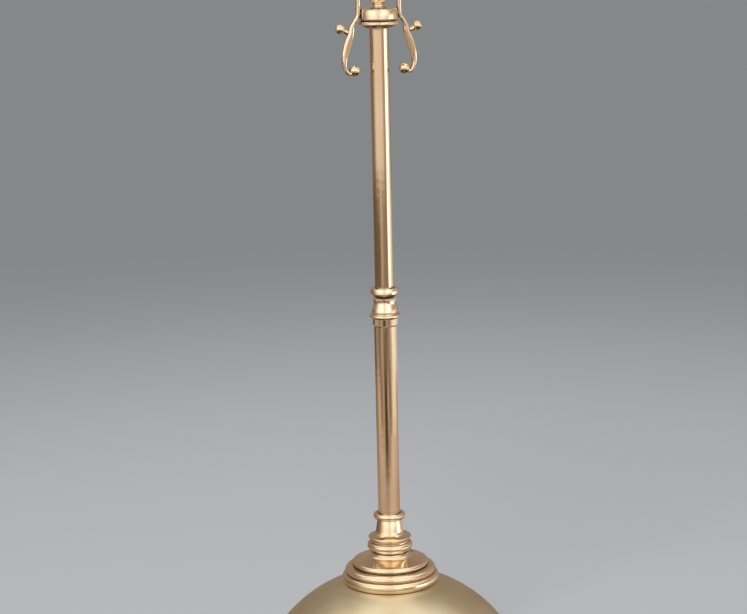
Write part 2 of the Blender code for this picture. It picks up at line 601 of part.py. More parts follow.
def make_tilt_joint(column, pivot):
    """The cross bolt, the yoke's cheeks on it, and a washer and ball knob at each end."""
    bolt = rod("tilt_bolt", TILT_BOLT_R, -TILT_BOLT_HALF, TILT_BOLT_HALF, "steel", column)
    bolt.location = (0.0, 0.0, PIVOT_Z * MM)
    bolt.rotation_euler = (0.0, math.radians(90.0), 0.0)
    washer_x = CHEEK_INNER_X + CHEEK_THICKNESS + FIT_GAP
    knob_x = washer_x + WASHER_THICKNESS + FIT_GAP
    for side, label in ((-1, "left"), (1, "right")):
        facing = (0.0, side * math.radians(90.0), 0.0)
        make_cheek(pivot, side, label)
        washer = sleeve(
            "tilt_washer_" + label,
            TILT_BOLT_HOLE_R,
            WASHER_R,
            washer_x,
            washer_x + WASHER_THICKNESS,
            "steel",
            column,
            steps=SMALL_STEPS,
        )
        washer.location = (0.0, 0.0, PIVOT_Z * MM)
        washer.rotation_euler = facing
        join_x = KNOB_BALL_X - math.sqrt(KNOB_BALL_R**2 - KNOB_NECK_R**2)
        join_deg = math.degrees(math.asin((join_x - KNOB_BALL_X) / KNOB_BALL_R))
        profile = arc((0.0, KNOB_BALL_X), KNOB_BALL_R, 90.0, join_deg, 6)
        profile[0] = (0.0, KNOB_BALL_X + KNOB_BALL_R)
        profile += [(KNOB_NECK_R, 35.0), (KNOB_FOOT_R, 33.4), (KNOB_FOOT_R, knob_x)]
        profile += [(TILT_BOLT_HOLE_R, knob_x)]
        profile += [(TILT_BOLT_HOLE_R, TILT_BOLT_HALF + 1.0), (0.0, TILT_BOLT_HALF + 1.0)]
        knob_name = "tilt_knob_" + label
        knob = turned(knob_name, profile, "polished_brass", column, closed=False, steps=SMALL_STEPS)
        knob.location = (0.0, 0.0, PIVOT_Z * MM)
        knob.rotation_euler = facing


def make_cheek(pivot, side, label):
    """One cheek of the yoke: a strap with a round eye on the tilt bolt, running out to the crossbar."""
    half = CHEEK_WIDTH / 2
    far = DESK_FRONT - DESK_THICKNESS - FIT_GAP - CROSSBAR_DEPTH - FIT_GAP
    eye = arc((0.0, 0.0), half, 180.0, 360.0, 10)
    outline = eye + [(half, far), (-half, far)]
    hole = arc((0.0, 0.0), TILT_BOLT_HOLE_R, 0.0, 337.5, 15)
    across = Matrix.Translation(Vector((side * (CHEEK_INNER_X + CHEEK_THICKNESS / 2), 0.0, 0.0)) * MM)
    turn = Matrix.Rotation(math.radians(90.0), 4, "Z") @ Matrix.Rotation(math.radians(90.0), 4, "X")
    placed = across @ turn
    flat_solid("yoke_cheek_" + label, [outline, hole], CHEEK_THICKNESS, "polished_brass", pivot, placed)


def rounded_rectangle(x0, y0, x1, y1, radius, count=4):
    """Outline of a rectangle with round corners."""
    outline = arc((x1 - radius, y1 - radius), radius, 0.0, 90.0, count)
    outline += arc((x0 + radius, y1 - radius), radius, 90.0, 180.0, count)
    outline += arc((x0 + radius, y0 + radius), radius, 180.0, 270.0, count)
    outline += arc((x1 - radius, y0 + radius), radius, 270.0, 360.0, count)
    return outline


def desk_outline():
    """The book rest's outer outline: square below, with an arched crest above."""
    crest_half = 80.0
    crest_rise = 22.0
    corner = 14.0
    outline = arc((DESK_HALF_WIDTH - corner, DESK_LOW + corner), corner, -90.0, 0.0, 4)
    outline += arc((DESK_HALF_WIDTH - corner, DESK_HIGH - corner), corner, 0.0, 90.0, 4)
    for i in range(13):
        x = crest_half - 2 * crest_half * i / 12
        outline.append((x, DESK_HIGH + crest_rise * 0.5 * (1 + math.cos(math.pi * x / crest_half))))
    outline += arc((corner - DESK_HALF_WIDTH, DESK_HIGH - corner), corner, 90.0, 180.0, 4)
    outline += arc((corner - DESK_HALF_WIDTH, DESK_LOW + corner), corner, 180.0, 270.0, 4)
    return outline


def make_book_rest(pivot):
    """The open frame with its crossbar, ledge and two scrolls, in the tilting plane."""
    middle = DESK_FRONT - DESK_THICKNESS / 2
    plane = Matrix.Translation(Vector((0.0, 0.0, middle)) * MM)
    inner_x = DESK_HALF_WIDTH - DESK_BORDER
    openings = []
    for side in (-1, 1):
        edges = sorted((side * DESK_BAR_HALF, side * inner_x))
        opening_low, opening_high = DESK_LOW + DESK_BORDER, DESK_HIGH - DESK_BORDER
        openings.append(rounded_rectangle(edges[0], opening_low, edges[1], opening_high, 8.0))
    outlines = [desk_outline()] + openings
    frame = flat_solid("book_rest_frame", outlines, DESK_THICKNESS, "polished_brass", pivot, plane)

    bar_front = DESK_FRONT - DESK_THICKNESS - FIT_GAP
    bar_plane = Matrix.Translation(Vector((0.0, 0.0, bar_front - CROSSBAR_DEPTH / 2)) * MM)
    half = CHEEK_WIDTH / 2
    bar = rounded_rectangle(-CROSSBAR_HALF, -half, CROSSBAR_HALF, half, 3.0)
    crossbar = flat_solid("yoke_crossbar", [bar], CROSSBAR_DEPTH, "polished_brass", pivot, bar_plane)
    make_rest_screws(pivot, frame, crossbar)

    base = DESK_FRONT + FIT_GAP
    low = DESK_LOW
    ledge = [(low, base), (low, base + LEDGE_DEPTH), (low + LEDGE_LIP, base + LEDGE_DEPTH)]
    ledge += [(low + LEDGE_LIP, base + LEDGE_DEPTH - LEDGE_THICKNESS)]
    ledge += [(low + LEDGE_THICKNESS, base + LEDGE_DEPTH - LEDGE_THICKNESS), (low + LEDGE_THICKNESS, base)]
    turn = Matrix.Rotation(math.radians(90.0), 4, "Z") @ Matrix.Rotation(math.radians(90.0), 4, "X")
    flat_solid("book_ledge", [ledge], 2 * LEDGE_HALF_LENGTH, "polished_brass", pivot, turn)

    for side, label in ((-1, "left"), (1, "right")):
        make_rest_scroll(pivot, plane, side, label)


def make_rest_scroll(pivot, plane, side, label):
    """A tall S scroll that fills one opening of the book rest and touches its four edges."""
    upper = [(14.0, 40.0), (4.0, 46.0), (-2.0, 62.0), (10.0, 80.0), (34.0, 84.0), (52.0, 66.0)]
    upper += [(46.0, 40.0), (24.0, 18.0)]
    lower = [(-x, -y) for x, y in reversed(upper)]
    path = smooth_path(upper + [(0.0, 0.0)] + lower)
    clearance = DESK_SCROLL_THICKNESS / 2 + FIT_GAP
    half_x = (DESK_HALF_WIDTH - DESK_BORDER - DESK_BAR_HALF) / 2 - clearance
    half_y = (DESK_HIGH - DESK_LOW) / 2 - DESK_BORDER - clearance
    scale_x = half_x / max(point.x for point in path)
    scale_y = half_y / max(point.y for point in path)
    middle_x = (DESK_BAR_HALF + DESK_HALF_WIDTH - DESK_BORDER) / 2
    middle_y = (DESK_LOW + DESK_HIGH) / 2
    placed = [Vector((side * (middle_x + p.x * scale_x), middle_y + p.y * scale_y)) for p in path]
    outline = strip_outline(placed, [DESK_SCROLL_THICKNESS] * len(placed))
    flat_solid("rest_scroll_" + label, [outline], DESK_THICKNESS, "polished_brass", pivot, plane)


def make_rest_screws(pivot, frame, crossbar):
    """Two round-headed screws that hold the frame's middle bar to the yoke's crossbar."""
    for offset, label in ((-REST_SCREW_OFFSET, "lower"), (REST_SCREW_OFFSET, "upper")):
        centre = (0.0, offset, DESK_FRONT - DESK_THICKNESS)
        hole_name = "rest_screw_hole_" + label
        hole = cutter_cylinder(hole_name, REST_SCREW_R + FIT_GAP, 16.0, centre, (0, 0, 1), pivot)
        drill(frame, hole)
        drill(crossbar, hole)
        head_z = DESK_FRONT + FIT_GAP
        end_z = DESK_FRONT - 7.2
        profile = [(0.0, head_z + 1.8), (1.8, head_z + 1.4), (3.0, head_z), (REST_SCREW_R, head_z)]
        profile += [(REST_SCREW_R, end_z), (0.0, end_z)]
        screw = turned("rest_screw_" + label, profile, "polished_brass", pivot, closed=False, steps=12)
        screw.location = Vector((0.0, offset, 0.0)) * MM


clear_scene()
PARTS = new_collection("bible_stand")
CUTTERS = new_collection("cutters")
column_axis = add_empty("column_axis", (0.0, 0.0, 0.0))
tilt_axis = add_empty("tilt_axis", (0.0, 0.0, PIVOT_Z), column_axis, (DESK_SLOPE, 0.0, 0.0))
make_foot()
make_tie_rod()
make_dome()
make_neck()
make_lower_tube()
make_gland()
make_upper_tube(column_axis)
head_ring = make_head_post(column_axis)
make_urn(column_axis)
for arm_side, arm_label in ((-1, "left"), (1, "right")):
    make_side_scrolls(column_axis, head_ring, arm_side, arm_label)
make_tilt_joint(column_axis, tilt_axis)
make_book_rest(tilt_axis)
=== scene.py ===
"""Looks for the telescopic brass Bible stand: fine meshes, brass finishes, floor, light and camera.

Turned outlines and the paths of the strips are in millimetres, and are fitted to the box of the CAD node
that they stand for. Everything else is in metres.
"""

import json
import math

import bmesh
import bpy
from mathutils import Matrix, Vector


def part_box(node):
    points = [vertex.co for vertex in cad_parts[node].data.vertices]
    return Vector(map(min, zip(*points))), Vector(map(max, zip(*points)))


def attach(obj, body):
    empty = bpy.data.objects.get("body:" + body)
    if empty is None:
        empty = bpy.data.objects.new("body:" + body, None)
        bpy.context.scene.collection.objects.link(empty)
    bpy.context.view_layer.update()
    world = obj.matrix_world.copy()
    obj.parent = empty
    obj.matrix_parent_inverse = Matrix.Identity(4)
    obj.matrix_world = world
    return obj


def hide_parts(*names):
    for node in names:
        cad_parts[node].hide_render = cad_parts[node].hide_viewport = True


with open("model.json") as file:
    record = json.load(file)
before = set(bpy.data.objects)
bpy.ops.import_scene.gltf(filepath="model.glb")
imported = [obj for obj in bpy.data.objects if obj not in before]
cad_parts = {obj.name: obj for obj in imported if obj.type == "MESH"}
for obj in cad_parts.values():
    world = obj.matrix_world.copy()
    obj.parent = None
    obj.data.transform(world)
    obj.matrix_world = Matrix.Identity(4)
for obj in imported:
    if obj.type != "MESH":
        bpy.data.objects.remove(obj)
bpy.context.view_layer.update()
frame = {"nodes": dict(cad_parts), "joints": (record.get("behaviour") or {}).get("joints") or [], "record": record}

MM = 0.001
PIVOT = Vector(next(j["pos_m"] for j in frame["joints"] if j["name"] == "book_rest_tilt"))
DESK_SLOPE = math.radians(55.0)
DESK_TO_WORLD = Matrix.Translation(PIVOT) @ Matrix.Rotation(DESK_SLOPE, 4, "X")
WORLD_TO_DESK = DESK_TO_WORLD.inverted()
# Turns a flat outline's X, Y and thickness to Y, Z and X
SIDEWAYS = Matrix.Rotation(math.radians(90.0), 4, "Z") @ Matrix.Rotation(math.radians(90.0), 4, "X")
SEGMENTS_WIDE = 192
SEGMENTS_STEM = 112
SEGMENTS_BALL = 56
SEGMENTS_SCREW = 40
BALL_STEPS = 28
TUBE_RINGS = 24
CORNER_STEPS = 10
CURVE_STEPS = 10
EDGE_RADIUS = 0.00035
PLATE_EDGE = 0.0006
ARC_STEP = math.radians(7.0)

DOME_WALL = 0.0016
DOME_STEPS = 96

# Millimetres, as the strips' paths are
STRIP_THICKNESS = 4.4
STRIP_DEPTH = 7.0
ARM_SWELL = 4.6
BELLY_HEIGHT = 738.0
BELLY_REACH = 23.0

CAMERA_AZIMUTH = math.radians(-17.0)
CAMERA_DISTANCE = 2.663
CAMERA_HEIGHT = 1.015
CAMERA_PITCH = math.radians(12.25)
CAMERA_ROLL = math.radians(1.31)
CAMERA_AIM_LEFT = math.radians(0.278)
CAMERA_LENS = 115.0
SENSOR_WIDTH = 36.0

# Brown of the tarnish and of the painted shade in the brass's recesses
SHADE_AND_TARNISH_BROWN = (0.11, 0.055, 0.022)
# Pale colour painted on brass that is seen in reflections, for the lacquer's shine
PAINTED_REFLECTION_PALE = (0.93, 0.85, 0.73)

MATERIALS = {}


# ---------------------------------------------------------------- outlines


def bulged(points):
    """Turn (x, y) or (x, y, bulge) points into a plain polyline.

    A bulge is the height of the arc that leads to the point, over half its chord.
    """
    line = [Vector(points[0][:2])]
    for point in points[1:]:
        start, end = line[-1], Vector(point[:2])
        bulge = point[2] if len(point) > 2 else 0.0
        if abs(bulge) > 1e-6:
            sweep = 4 * math.atan(bulge)
            chord = end - start
            radius = chord.length / 2 / math.sin(sweep / 2)
            left = Vector((-chord.y, chord.x)).normalized()
            centre = (start + end) / 2 - left * radius * math.cos(sweep / 2)
            count = max(3, math.ceil(abs(sweep) / ARC_STEP))
            spoke = start - centre
            for i in range(1, count):
                angle = -sweep * i / count
                turned = Matrix.Rotation(angle, 2) @ spoke
                line.append(centre + turned)
        line.append(end)
    return line


def soften(line, radius, closed):
    """Round every sharp corner of a polyline with a small arc."""
    out = []
    count = len(line)
    for i, corner in enumerate(line):
        if not closed and i in (0, count - 1):
            out.append(corner)
            continue
        before, after = line[i - 1], line[(i + 1) % count]
        into, away = corner - before, after - corner
        if into.length < 1e-9 or away.length < 1e-9:
            continue
        turn = into.angle_signed(away, 0.0)
        if abs(turn) < math.radians(16.0):
            out.append(corner)
            continue
        reach = min(radius, 0.42 * into.length, 0.42 * away.length)
        start = corner - into.normalized() * reach
        end = corner + away.normalized() * reach
        for k in range(5):
            t = k / 4
            out.append(start * (1 - t) ** 2 + corner * 2 * t * (1 - t) + end * t * t)
    return out


def smooth_path(points):
    """A Catmull-Rom curve through the given points."""
    ends = [points[0]] + list(points) + [points[-1]]
    path = []
    for i in range(1, len(ends) - 2):
        p0, p1, p2, p3 = (Vector(ends[i + k]) for k in (-1, 0, 1, 2))
        for step in range(CURVE_STEPS):
            t = step / CURVE_STEPS
            bend = (2 * p0 - 5 * p1 + 4 * p2 - p3) * t * t + (3 * p1 - p0 - 3 * p2 + p3) * t * t * t
            path.append(p1 + 0.5 * ((p2 - p0) * t + bend))
    path.append(Vector(ends[-2]))
    return path


# ---------------------------------------------------------------- meshes


def add_piece(name, bm, material, body, replaces):
    """Turn a bmesh into a finished piece that rides on a body and stands for CAD nodes."""
    bmesh.ops.recalc_face_normals(bm, faces=bm.faces)
    for face in bm.faces:
        face.smooth = True
    mesh = bpy.data.meshes.new(name)
    bm.to_mesh(mesh)
    bm.free()
    piece = bpy.data.objects.new(name, mesh)
    bpy.context.scene.collection.objects.link(piece)
    mesh.materials.append(MATERIALS[material])
    normals = piece.modifiers.new("weighted_normals", "WEIGHTED_NORMAL")
    normals.weight = 100
    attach(piece, body)
    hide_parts(*replaces)
    return piece


def lathe_mesh(line, segments, closed):
    """Turn a polyline of (radius, height) about Z."""
    bm = bmesh.new()
    rings = []
    for radius, height in line:
        if radius < 1e-7:
            rings.append([bm.verts.new((0.0, 0.0, height))])
            continue
        ring = []
        for k in range(segments):
            angle = math.tau * k / segments
            ring.append(bm.verts.new((radius * math.cos(angle), radius * math.sin(angle), height)))
        rings.append(ring)
    pairs = list(zip(rings, rings[1:]))
    if closed:
        pairs.append((rings[-1], rings[0]))
    for upper, lower in pairs:
        for k in range(segments):
            nxt = (k + 1) % segments
            if len(upper) == 1 and len(lower) == 1:
                continue
            if len(upper) == 1:
                bm.faces.new((upper[0], lower[k], lower[nxt]))
            elif len(lower) == 1:
                bm.faces.new((upper[k], lower[0], upper[nxt]))
            else:
                bm.faces.new((upper[k], lower[k], lower[nxt], upper[nxt]))
    return bm


def fit_profile(node, profile):
    """Scale a millimetre profile so that its radius and height are those of the CAD node's box."""
    low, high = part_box(node)
    top = max(p[1] for p in profile)
    bottom = min(p[1] for p in profile)
    radius = max(p[0] for p in profile)
    fitted = []
    for point in profile:
        z = low.z + (point[1] - bottom) / (top - bottom) * (high.z - low.z)
        fitted.append((point[0] / radius * high.x, z) + tuple(point[2:]))
    return fitted


def turned_piece(node, profile, material, body, closed=True, segments=SEGMENTS_STEM):
    """A fine turned piece that stands for one CAD node on the stand's axis."""
    line = soften(bulged(fit_profile(node, profile)), EDGE_RADIUS, closed)
    bm = lathe_mesh(line, segments, closed)
    return add_piece(node + "_fine", bm, material, body, [node])


def sweep_strip(path, sections):
    """Sweep a round-edged rectangle along a planar path of (x, z). Each section is (thickness, depth)."""
    bm = bmesh.new()
    rings = []
    edge_steps = 4
    for i, point in enumerate(path):
        before = path[max(i - 1, 0)]
        after = path[min(i + 1, len(path) - 1)]
        along = (after - before).normalized()
        side = Vector((-along.y, along.x))
        thickness, depth = sections[i]
        corner = min(thickness, depth) * 0.40
        ring = []
        for quarter, (sx, sy) in enumerate(((1, 1), (-1, 1), (-1, -1), (1, -1))):
            for k in range(edge_steps + 1):
                angle = math.radians(90.0 * quarter + 90.0 * k / edge_steps)
                across = sx * (thickness / 2 - corner) + corner * math.cos(angle)
                deep = sy * (depth / 2 - corner) + corner * math.sin(angle)
                place = point + side * across
                ring.append(bm.verts.new((place.x, deep, place.y)))
        rings.append(ring)
    size = len(rings[0])
    for a, b in zip(rings, rings[1:]):
        for k in range(size):
            nxt = (k + 1) % size
            bm.faces.new((a[k], a[nxt], b[nxt], b[k]))
    bm.faces.new(rings[0])
    bm.faces.new(rings[-1][::-1])
    return bm


def ball_profile(radius, stem_radius=0.0, stem_end=0.0):
    """Profile of a ball, with an optional stem below it that meets it in a small cove."""
    points = []
    join = math.asin(min(1.0, stem_radius * 1.35 / radius))
    last = math.pi - join if stem_radius else math.pi
    for i in range(BALL_STEPS + 1):
        angle = last * i / BALL_STEPS
        points.append((radius * math.sin(angle), radius * math.cos(angle)))
    points[0] = (0.0, radius)
    if stem_radius:
        join_z = -radius * math.cos(join)
        points.append((stem_radius, join_z - stem_radius * 0.45, -0.25))
        points.append((stem_radius, stem_end))
        points.append((0.0, stem_end))
    else:
        points[-1] = (0.0, -radius)
    return points


def place_turned(node, profile, matrix, material, body, segments=SEGMENTS_BALL):
    """A fine turned piece with its own axis, placed by a matrix, that stands for one CAD node."""
    bm = lathe_mesh(soften(bulged(profile), EDGE_RADIUS, False), segments, False)
    bmesh.ops.transform(bm, matrix=matrix, verts=bm.verts)
    return add_piece(node + "_fine", bm, material, body, [node])


def axis_matrix(centre, direction):
    """A frame at centre whose Z axis points along direction."""
    turn = Vector((0.0, 0.0, 1.0)).rotation_difference(Vector(direction)).to_matrix().to_4x4()
    return Matrix.Translation(centre) @ turn


# ---------------------------------------------------------------- materials


class Nodes:
    """Short calls for building a node tree."""

    def __init__(self, tree):
        self.tree = tree

    def add(self, kind, **values):
        node = self.tree.nodes.new(kind)
        for key, value in values.items():
            if hasattr(node, key):
                setattr(node, key, value)
            else:
                node.inputs[key.replace("_", " ")].default_value = value
        return node

    def link(self, output, target):
        self.tree.links.new(output, target)

    def ramp(self, source, stops):
        node = self.tree.nodes.new("ShaderNodeValToRGB")
        ramp = node.color_ramp
        while len(ramp.elements) < len(stops):
            ramp.elements.new(0.5)
        for element, (place, colour) in zip(ramp.elements, stops):
            element.position = place
            element.color = (*colour, 1.0)
        self.link(source, node.inputs["Fac"])
        return node.outputs["Color"]

    def spread(self, source, low, high, out_low, out_high):
        node = self.tree.nodes.new("ShaderNodeMapRange")
        node.inputs["From Min"].default_value = low
        node.inputs["From Max"].default_value = high
        node.inputs["To Min"].default_value = out_low
        node.inputs["To Max"].default_value = out_high
        self.link(source, node.inputs["Value"])
        return node.outputs["Result"]

    def mix(self, factor, first, second):
        node = self.tree.nodes.new("ShaderNodeMix")
        node.data_type = "RGBA"
        for value, socket in ((factor, node.inputs[0]), (first, node.inputs[6]), (second, node.inputs[7])):
            if isinstance(value, tuple):
                socket.default_value = (*value, 1.0)
            elif isinstance(value, (int, float)):
                socket.default_value = value
            else:
                self.link(value, socket)
        return node.outputs[2]

    def math(self, operation, first, second=0.0):
        node = self.tree.nodes.new("ShaderNodeMath")
        node.operation = operation
        for value, socket in ((first, node.inputs[0]), (second, node.inputs[1])):
            if isinstance(value, (int, float)):
                socket.default_value = value
            else:
                self.link(value, socket)
        return node.outputs[0]

    def noise(self, vector, scale, detail=4.0, roughness=0.55):
        node = self.tree.nodes.new("ShaderNodeTexNoise")
        node.inputs["Scale"].default_value = scale
        node.inputs["Detail"].default_value = detail
        node.inputs["Roughness"].default_value = roughness
        self.link(vector, node.inputs["Vector"])
        return node.outputs["Fac"]

    def stretched(self, vector, scale):
        node = self.tree.nodes.new("ShaderNodeMapping")
        node.inputs["Scale"].default_value = scale
        self.link(vector, node.inputs["Vector"])
        return node.outputs["Vector"]

    def bump(self, height, strength, distance, normal=None):
        node = self.tree.nodes.new("ShaderNodeBump")
        node.inputs["Strength"].default_value = strength
        node.inputs["Distance"].default_value = distance
        self.link(height, node.inputs["Height"])
        if normal is not None:
            self.link(normal, node.inputs["Normal"])
        return node.outputs["Normal"]


def new_material(name):
    """A material with its node helper, its shader and its object coordinates."""
    material = bpy.data.materials.new(name)
    material.use_nodes = True
    nodes = Nodes(material.node_tree)
    shader = material.node_tree.nodes["Principled BSDF"]
    place = nodes.add("ShaderNodeTexCoord").outputs["Object"]
    MATERIALS[name] = material
    return nodes, shader, place


def round_coordinates(nodes, place):
    """Distance from the Z axis and height, so that a texture made on them runs round the piece."""
    split = nodes.add("ShaderNodeSeparateXYZ")
    nodes.link(place, split.inputs[0])
    x_squared = nodes.math("POWER", split.outputs[0], 2.0)
    square = nodes.math("ADD", x_squared, nodes.math("POWER", split.outputs[1], 2.0))
    combine = nodes.add("ShaderNodeCombineXYZ")
    nodes.link(nodes.math("SQRT", square), combine.inputs[0])
    nodes.link(split.outputs[2], combine.inputs[2])
    return combine.outputs[0]


def brass(name, base, pale, rough_low, rough_high, lines, turned=True):
    """Polished brass: colour drift, tarnish and painted shade in recesses, wipe marks in the gloss and fine lathe
    lines.

    Brass seen in other brass is painted paler: a painted reflection that stands in for the clear lacquer's own
    shine on the real metal.
    """
    nodes, shader, place = new_material(name)
    drift = nodes.spread(nodes.noise(place, 9.0, 3.0), 0.35, 0.65, 0.0, 1.0)
    # Painted reflection: brass seen through a glossy bounce is mixed towards a pale colour.
    painted_reflection_share = nodes.math("MULTIPLY", nodes.add("ShaderNodeLightPath").outputs["Is Glossy Ray"], 0.7)
    gold = nodes.mix(painted_reflection_share, nodes.mix(drift, base, pale), PAINTED_REFLECTION_PALE)
    # Painted shade and tarnish: ambient occlusion darkens the colour to brown in recesses, under the head lip and
    # between parts, with tarnish speckle in the same places.
    hollow = nodes.add("ShaderNodeAmbientOcclusion", samples=6)
    hollow.inputs["Distance"].default_value = 0.006
    shade_and_tarnish_mask = nodes.spread(hollow.outputs["AO"], 0.82, 0.30, 0.0, 0.75)
    speckle = nodes.spread(nodes.noise(place, 260.0, 5.0), 0.50, 0.72, 0.0, 0.35)
    tarnish = nodes.math("ADD", shade_and_tarnish_mask, nodes.math("MULTIPLY", speckle, shade_and_tarnish_mask))
    shade_and_tarnish_limit = nodes.math("MINIMUM", tarnish, 0.92)
    nodes.link(nodes.mix(shade_and_tarnish_limit, gold, SHADE_AND_TARNISH_BROWN), shader.inputs["Base Color"])
    shader.inputs["Metallic"].default_value = 1.0
    wipe = nodes.noise(nodes.stretched(place, (1.0, 1.0, 0.35)), 42.0, 6.0, 0.62)
    fine = nodes.noise(place, 900.0, 2.0)
    gloss = nodes.math("ADD", nodes.math("MULTIPLY", wipe, 0.75), nodes.math("MULTIPLY", fine, 0.25))
    polish = nodes.spread(gloss, 0.32, 0.70, rough_low, rough_high)
    dullness = nodes.math("MULTIPLY", shade_and_tarnish_limit, 0.30)
    nodes.link(nodes.math("ADD", polish, dullness), shader.inputs["Roughness"])
    ripple = nodes.bump(nodes.noise(place, 60.0, 2.0), 0.06, 0.0006)
    grain = round_coordinates(nodes, place) if turned else place
    scale = 1500.0 if turned else 700.0
    normal = nodes.bump(nodes.noise(grain, scale, 3.0, 0.7), lines, 0.00006, ripple)
    nodes.link(normal, shader.inputs["Normal"])


def satin_brass():
    """The spun dome: paler, duller brass with concentric spinning marks and faint cloudy tarnish."""
    nodes, shader, place = new_material("satin_brass_look")
    cloud = nodes.spread(nodes.noise(place, 14.0, 6.0, 0.6), 0.36, 0.66, 0.0, 1.0)
    gold = nodes.mix(cloud, (0.66, 0.52, 0.30), (0.76, 0.63, 0.40))
    spots = nodes.spread(nodes.noise(place, 190.0, 4.0), 0.66, 0.78, 0.0, 0.35)
    nodes.link(nodes.mix(spots, gold, (0.30, 0.21, 0.10)), shader.inputs["Base Color"])
    shader.inputs["Metallic"].default_value = 1.0
    rings = round_coordinates(nodes, place)
    band = nodes.noise(rings, 240.0, 5.0, 0.7)
    rough = nodes.math("ADD", nodes.math("MULTIPLY", band, 0.5), nodes.math("MULTIPLY", cloud, 0.2))
    nodes.link(nodes.spread(rough, 0.15, 0.60, 0.30, 0.42), shader.inputs["Roughness"])
    nodes.link(nodes.bump(nodes.noise(rings, 1100.0, 4.0, 0.75), 0.22, 0.00012), shader.inputs["Normal"])


def steel():
    """Machined steel with turning marks and a little dullness."""
    nodes, shader, place = new_material("steel_look")
    drift = nodes.noise(place, 60.0, 4.0)
    nodes.link(nodes.mix(drift, (0.34, 0.34, 0.36), (0.56, 0.56, 0.58)), shader.inputs["Base Color"])
    shader.inputs["Metallic"].default_value = 1.0
    nodes.link(nodes.spread(nodes.noise(place, 300.0, 4.0), 0.3, 0.7, 0.24, 0.46), shader.inputs["Roughness"])
    marks = nodes.noise(round_coordinates(nodes, place), 900.0, 3.0)
    nodes.link(nodes.bump(marks, 0.2, 0.0001), shader.inputs["Normal"])


def cast_iron():
    """Black sand-cast iron."""
    nodes, shader, place = new_material("cast_iron_look")
    blotch = nodes.noise(place, 35.0, 5.0)
    nodes.link(nodes.mix(blotch, (0.025, 0.024, 0.024), (0.085, 0.070, 0.060)), shader.inputs["Base Color"])
    shader.inputs["Metallic"].default_value = 0.45
    nodes.link(nodes.spread(blotch, 0.3, 0.7, 0.62, 0.85), shader.inputs["Roughness"])
    nodes.link(nodes.bump(nodes.noise(place, 520.0, 6.0, 0.7), 0.7, 0.0005), shader.inputs["Normal"])


def baize():
    """Green wool baize: short matted nap."""
    nodes, shader, place = new_material("baize_look")
    nap = nodes.noise(place, 1600.0, 4.0, 0.7)
    patch = nodes.noise(place, 30.0, 3.0)
    green = nodes.mix(nap, (0.012, 0.055, 0.026), (0.040, 0.135, 0.062))
    worn = nodes.spread(patch, 0.4, 0.7, 0.0, 0.35)
    nodes.link(nodes.mix(worn, green, (0.05, 0.10, 0.05)), shader.inputs["Base Color"])
    shader.inputs["Roughness"].default_value = 0.95
    shader.inputs["Sheen Weight"].default_value = 0.5
    shader.inputs["Sheen Roughness"].default_value = 0.4
    nodes.link(nodes.bump(nap, 0.8, 0.0006), shader.inputs["Normal"])


def leather_fibre():
    """Pressed brown leather fibre."""
    nodes, shader, place = new_material("fibre_look")
    grain = nodes.noise(place, 700.0, 5.0, 0.7)
    nodes.link(nodes.mix(grain, (0.10, 0.045, 0.02), (0.26, 0.13, 0.065)), shader.inputs["Base Color"])
    shader.inputs["Roughness"].default_value = 0.8
    nodes.link(nodes.bump(grain, 0.5, 0.0003), shader.inputs["Normal"])


def make_materials():
    """Every finish on the stand."""
    brass("tube_brass", (0.82, 0.57, 0.33), (0.88, 0.65, 0.41), 0.035, 0.085, 0.04)
    brass("turned_brass", (0.85, 0.62, 0.37), (0.91, 0.71, 0.47), 0.04, 0.10, 0.08)
    brass("cast_brass", (0.86, 0.64, 0.39), (0.92, 0.73, 0.49), 0.07, 0.15, 0.10, turned=False)
    satin_brass()
    steel()
    cast_iron()
    baize()
    leather_fibre()


# ---------------------------------------------------------------- foot


def make_foot():
    """Rim, dome, pad, collar, ring, vase and ferrule."""
    rim = [(157.4, 18.5), (158.9, 17.4, 0.3), (159.8, 14.2, -0.15), (162.0, 12.2, -0.25), (165.0, 7.0, 0.30)]
    rim += [(163.4, 1.4, 0.28), (161.4, 0.0, 0.2), (147.0, 0.0), (147.0, 14.0), (155.2, 14.0), (155.2, 17.6)]
    turned_piece("foot_rim", rim, "turned_brass", "base", segments=SEGMENTS_WIDE)
    make_dome()
    pad = [(0.0, 3.2), (144.5, 3.2), (146.5, 1.8, 0.3), (145.8, 0.6, 0.2), (144.0, 0.4), (0.0, 0.4)]
    turned_piece("baize_pad", pad, "baize_look", "base", closed=False, segments=SEGMENTS_WIDE)

    collar = [(5.3, 145.8), (21.5, 145.8), (26.6, 140.6, -0.20), (40.6, 136.4, -0.06), (44.2, 133.0, 0.36)]
    collar += [(42.9, 130.6, 0.22), (42.5, 130.0), (46.2, 129.7), (52.6, 125.2, 0.34), (51.4, 122.2, 0.22)]
    collar += [(50.9, 121.5), (53.0, 121.1), (56.0, 116.6, 0.32), (55.2, 112.2, 0.22), (54.4, 110.4)]
    collar += [(52.0, 110.9), (5.3, 119.0, -0.155)]
    turned_piece("base_collar", collar, "turned_brass", "base", segments=SEGMENTS_WIDE)

    ring = [(5.3, 162.2), (23.6, 162.2), (22.2, 160.2, -0.2), (22.3, 158.2, -0.05), (26.3, 153.2, 0.40)]
    ring += [(22.3, 148.2, 0.40), (21.0, 147.6), (20.6, 146.1), (5.3, 146.1)]
    turned_piece("neck_ring", ring, "turned_brass", "base")

    vase = [(5.3, 185.2), (13.6, 185.2), (13.9, 184.6, 0.1), (16.0, 171.0, 0.01), (17.4, 167.8, -0.14)]
    vase += [(23.2, 165.0, -0.10), (24.8, 163.8, 0.35), (24.2, 162.5, 0.3), (5.3, 162.5)]
    turned_piece("neck_vase", vase, "turned_brass", "base")

    ferrule = [(13.0, 192.7), (15.6, 192.7), (18.5, 189.2, 0.40), (15.6, 185.5, 0.40), (13.0, 185.5)]
    turned_piece("tube_ferrule", ferrule, "turned_brass", "base")


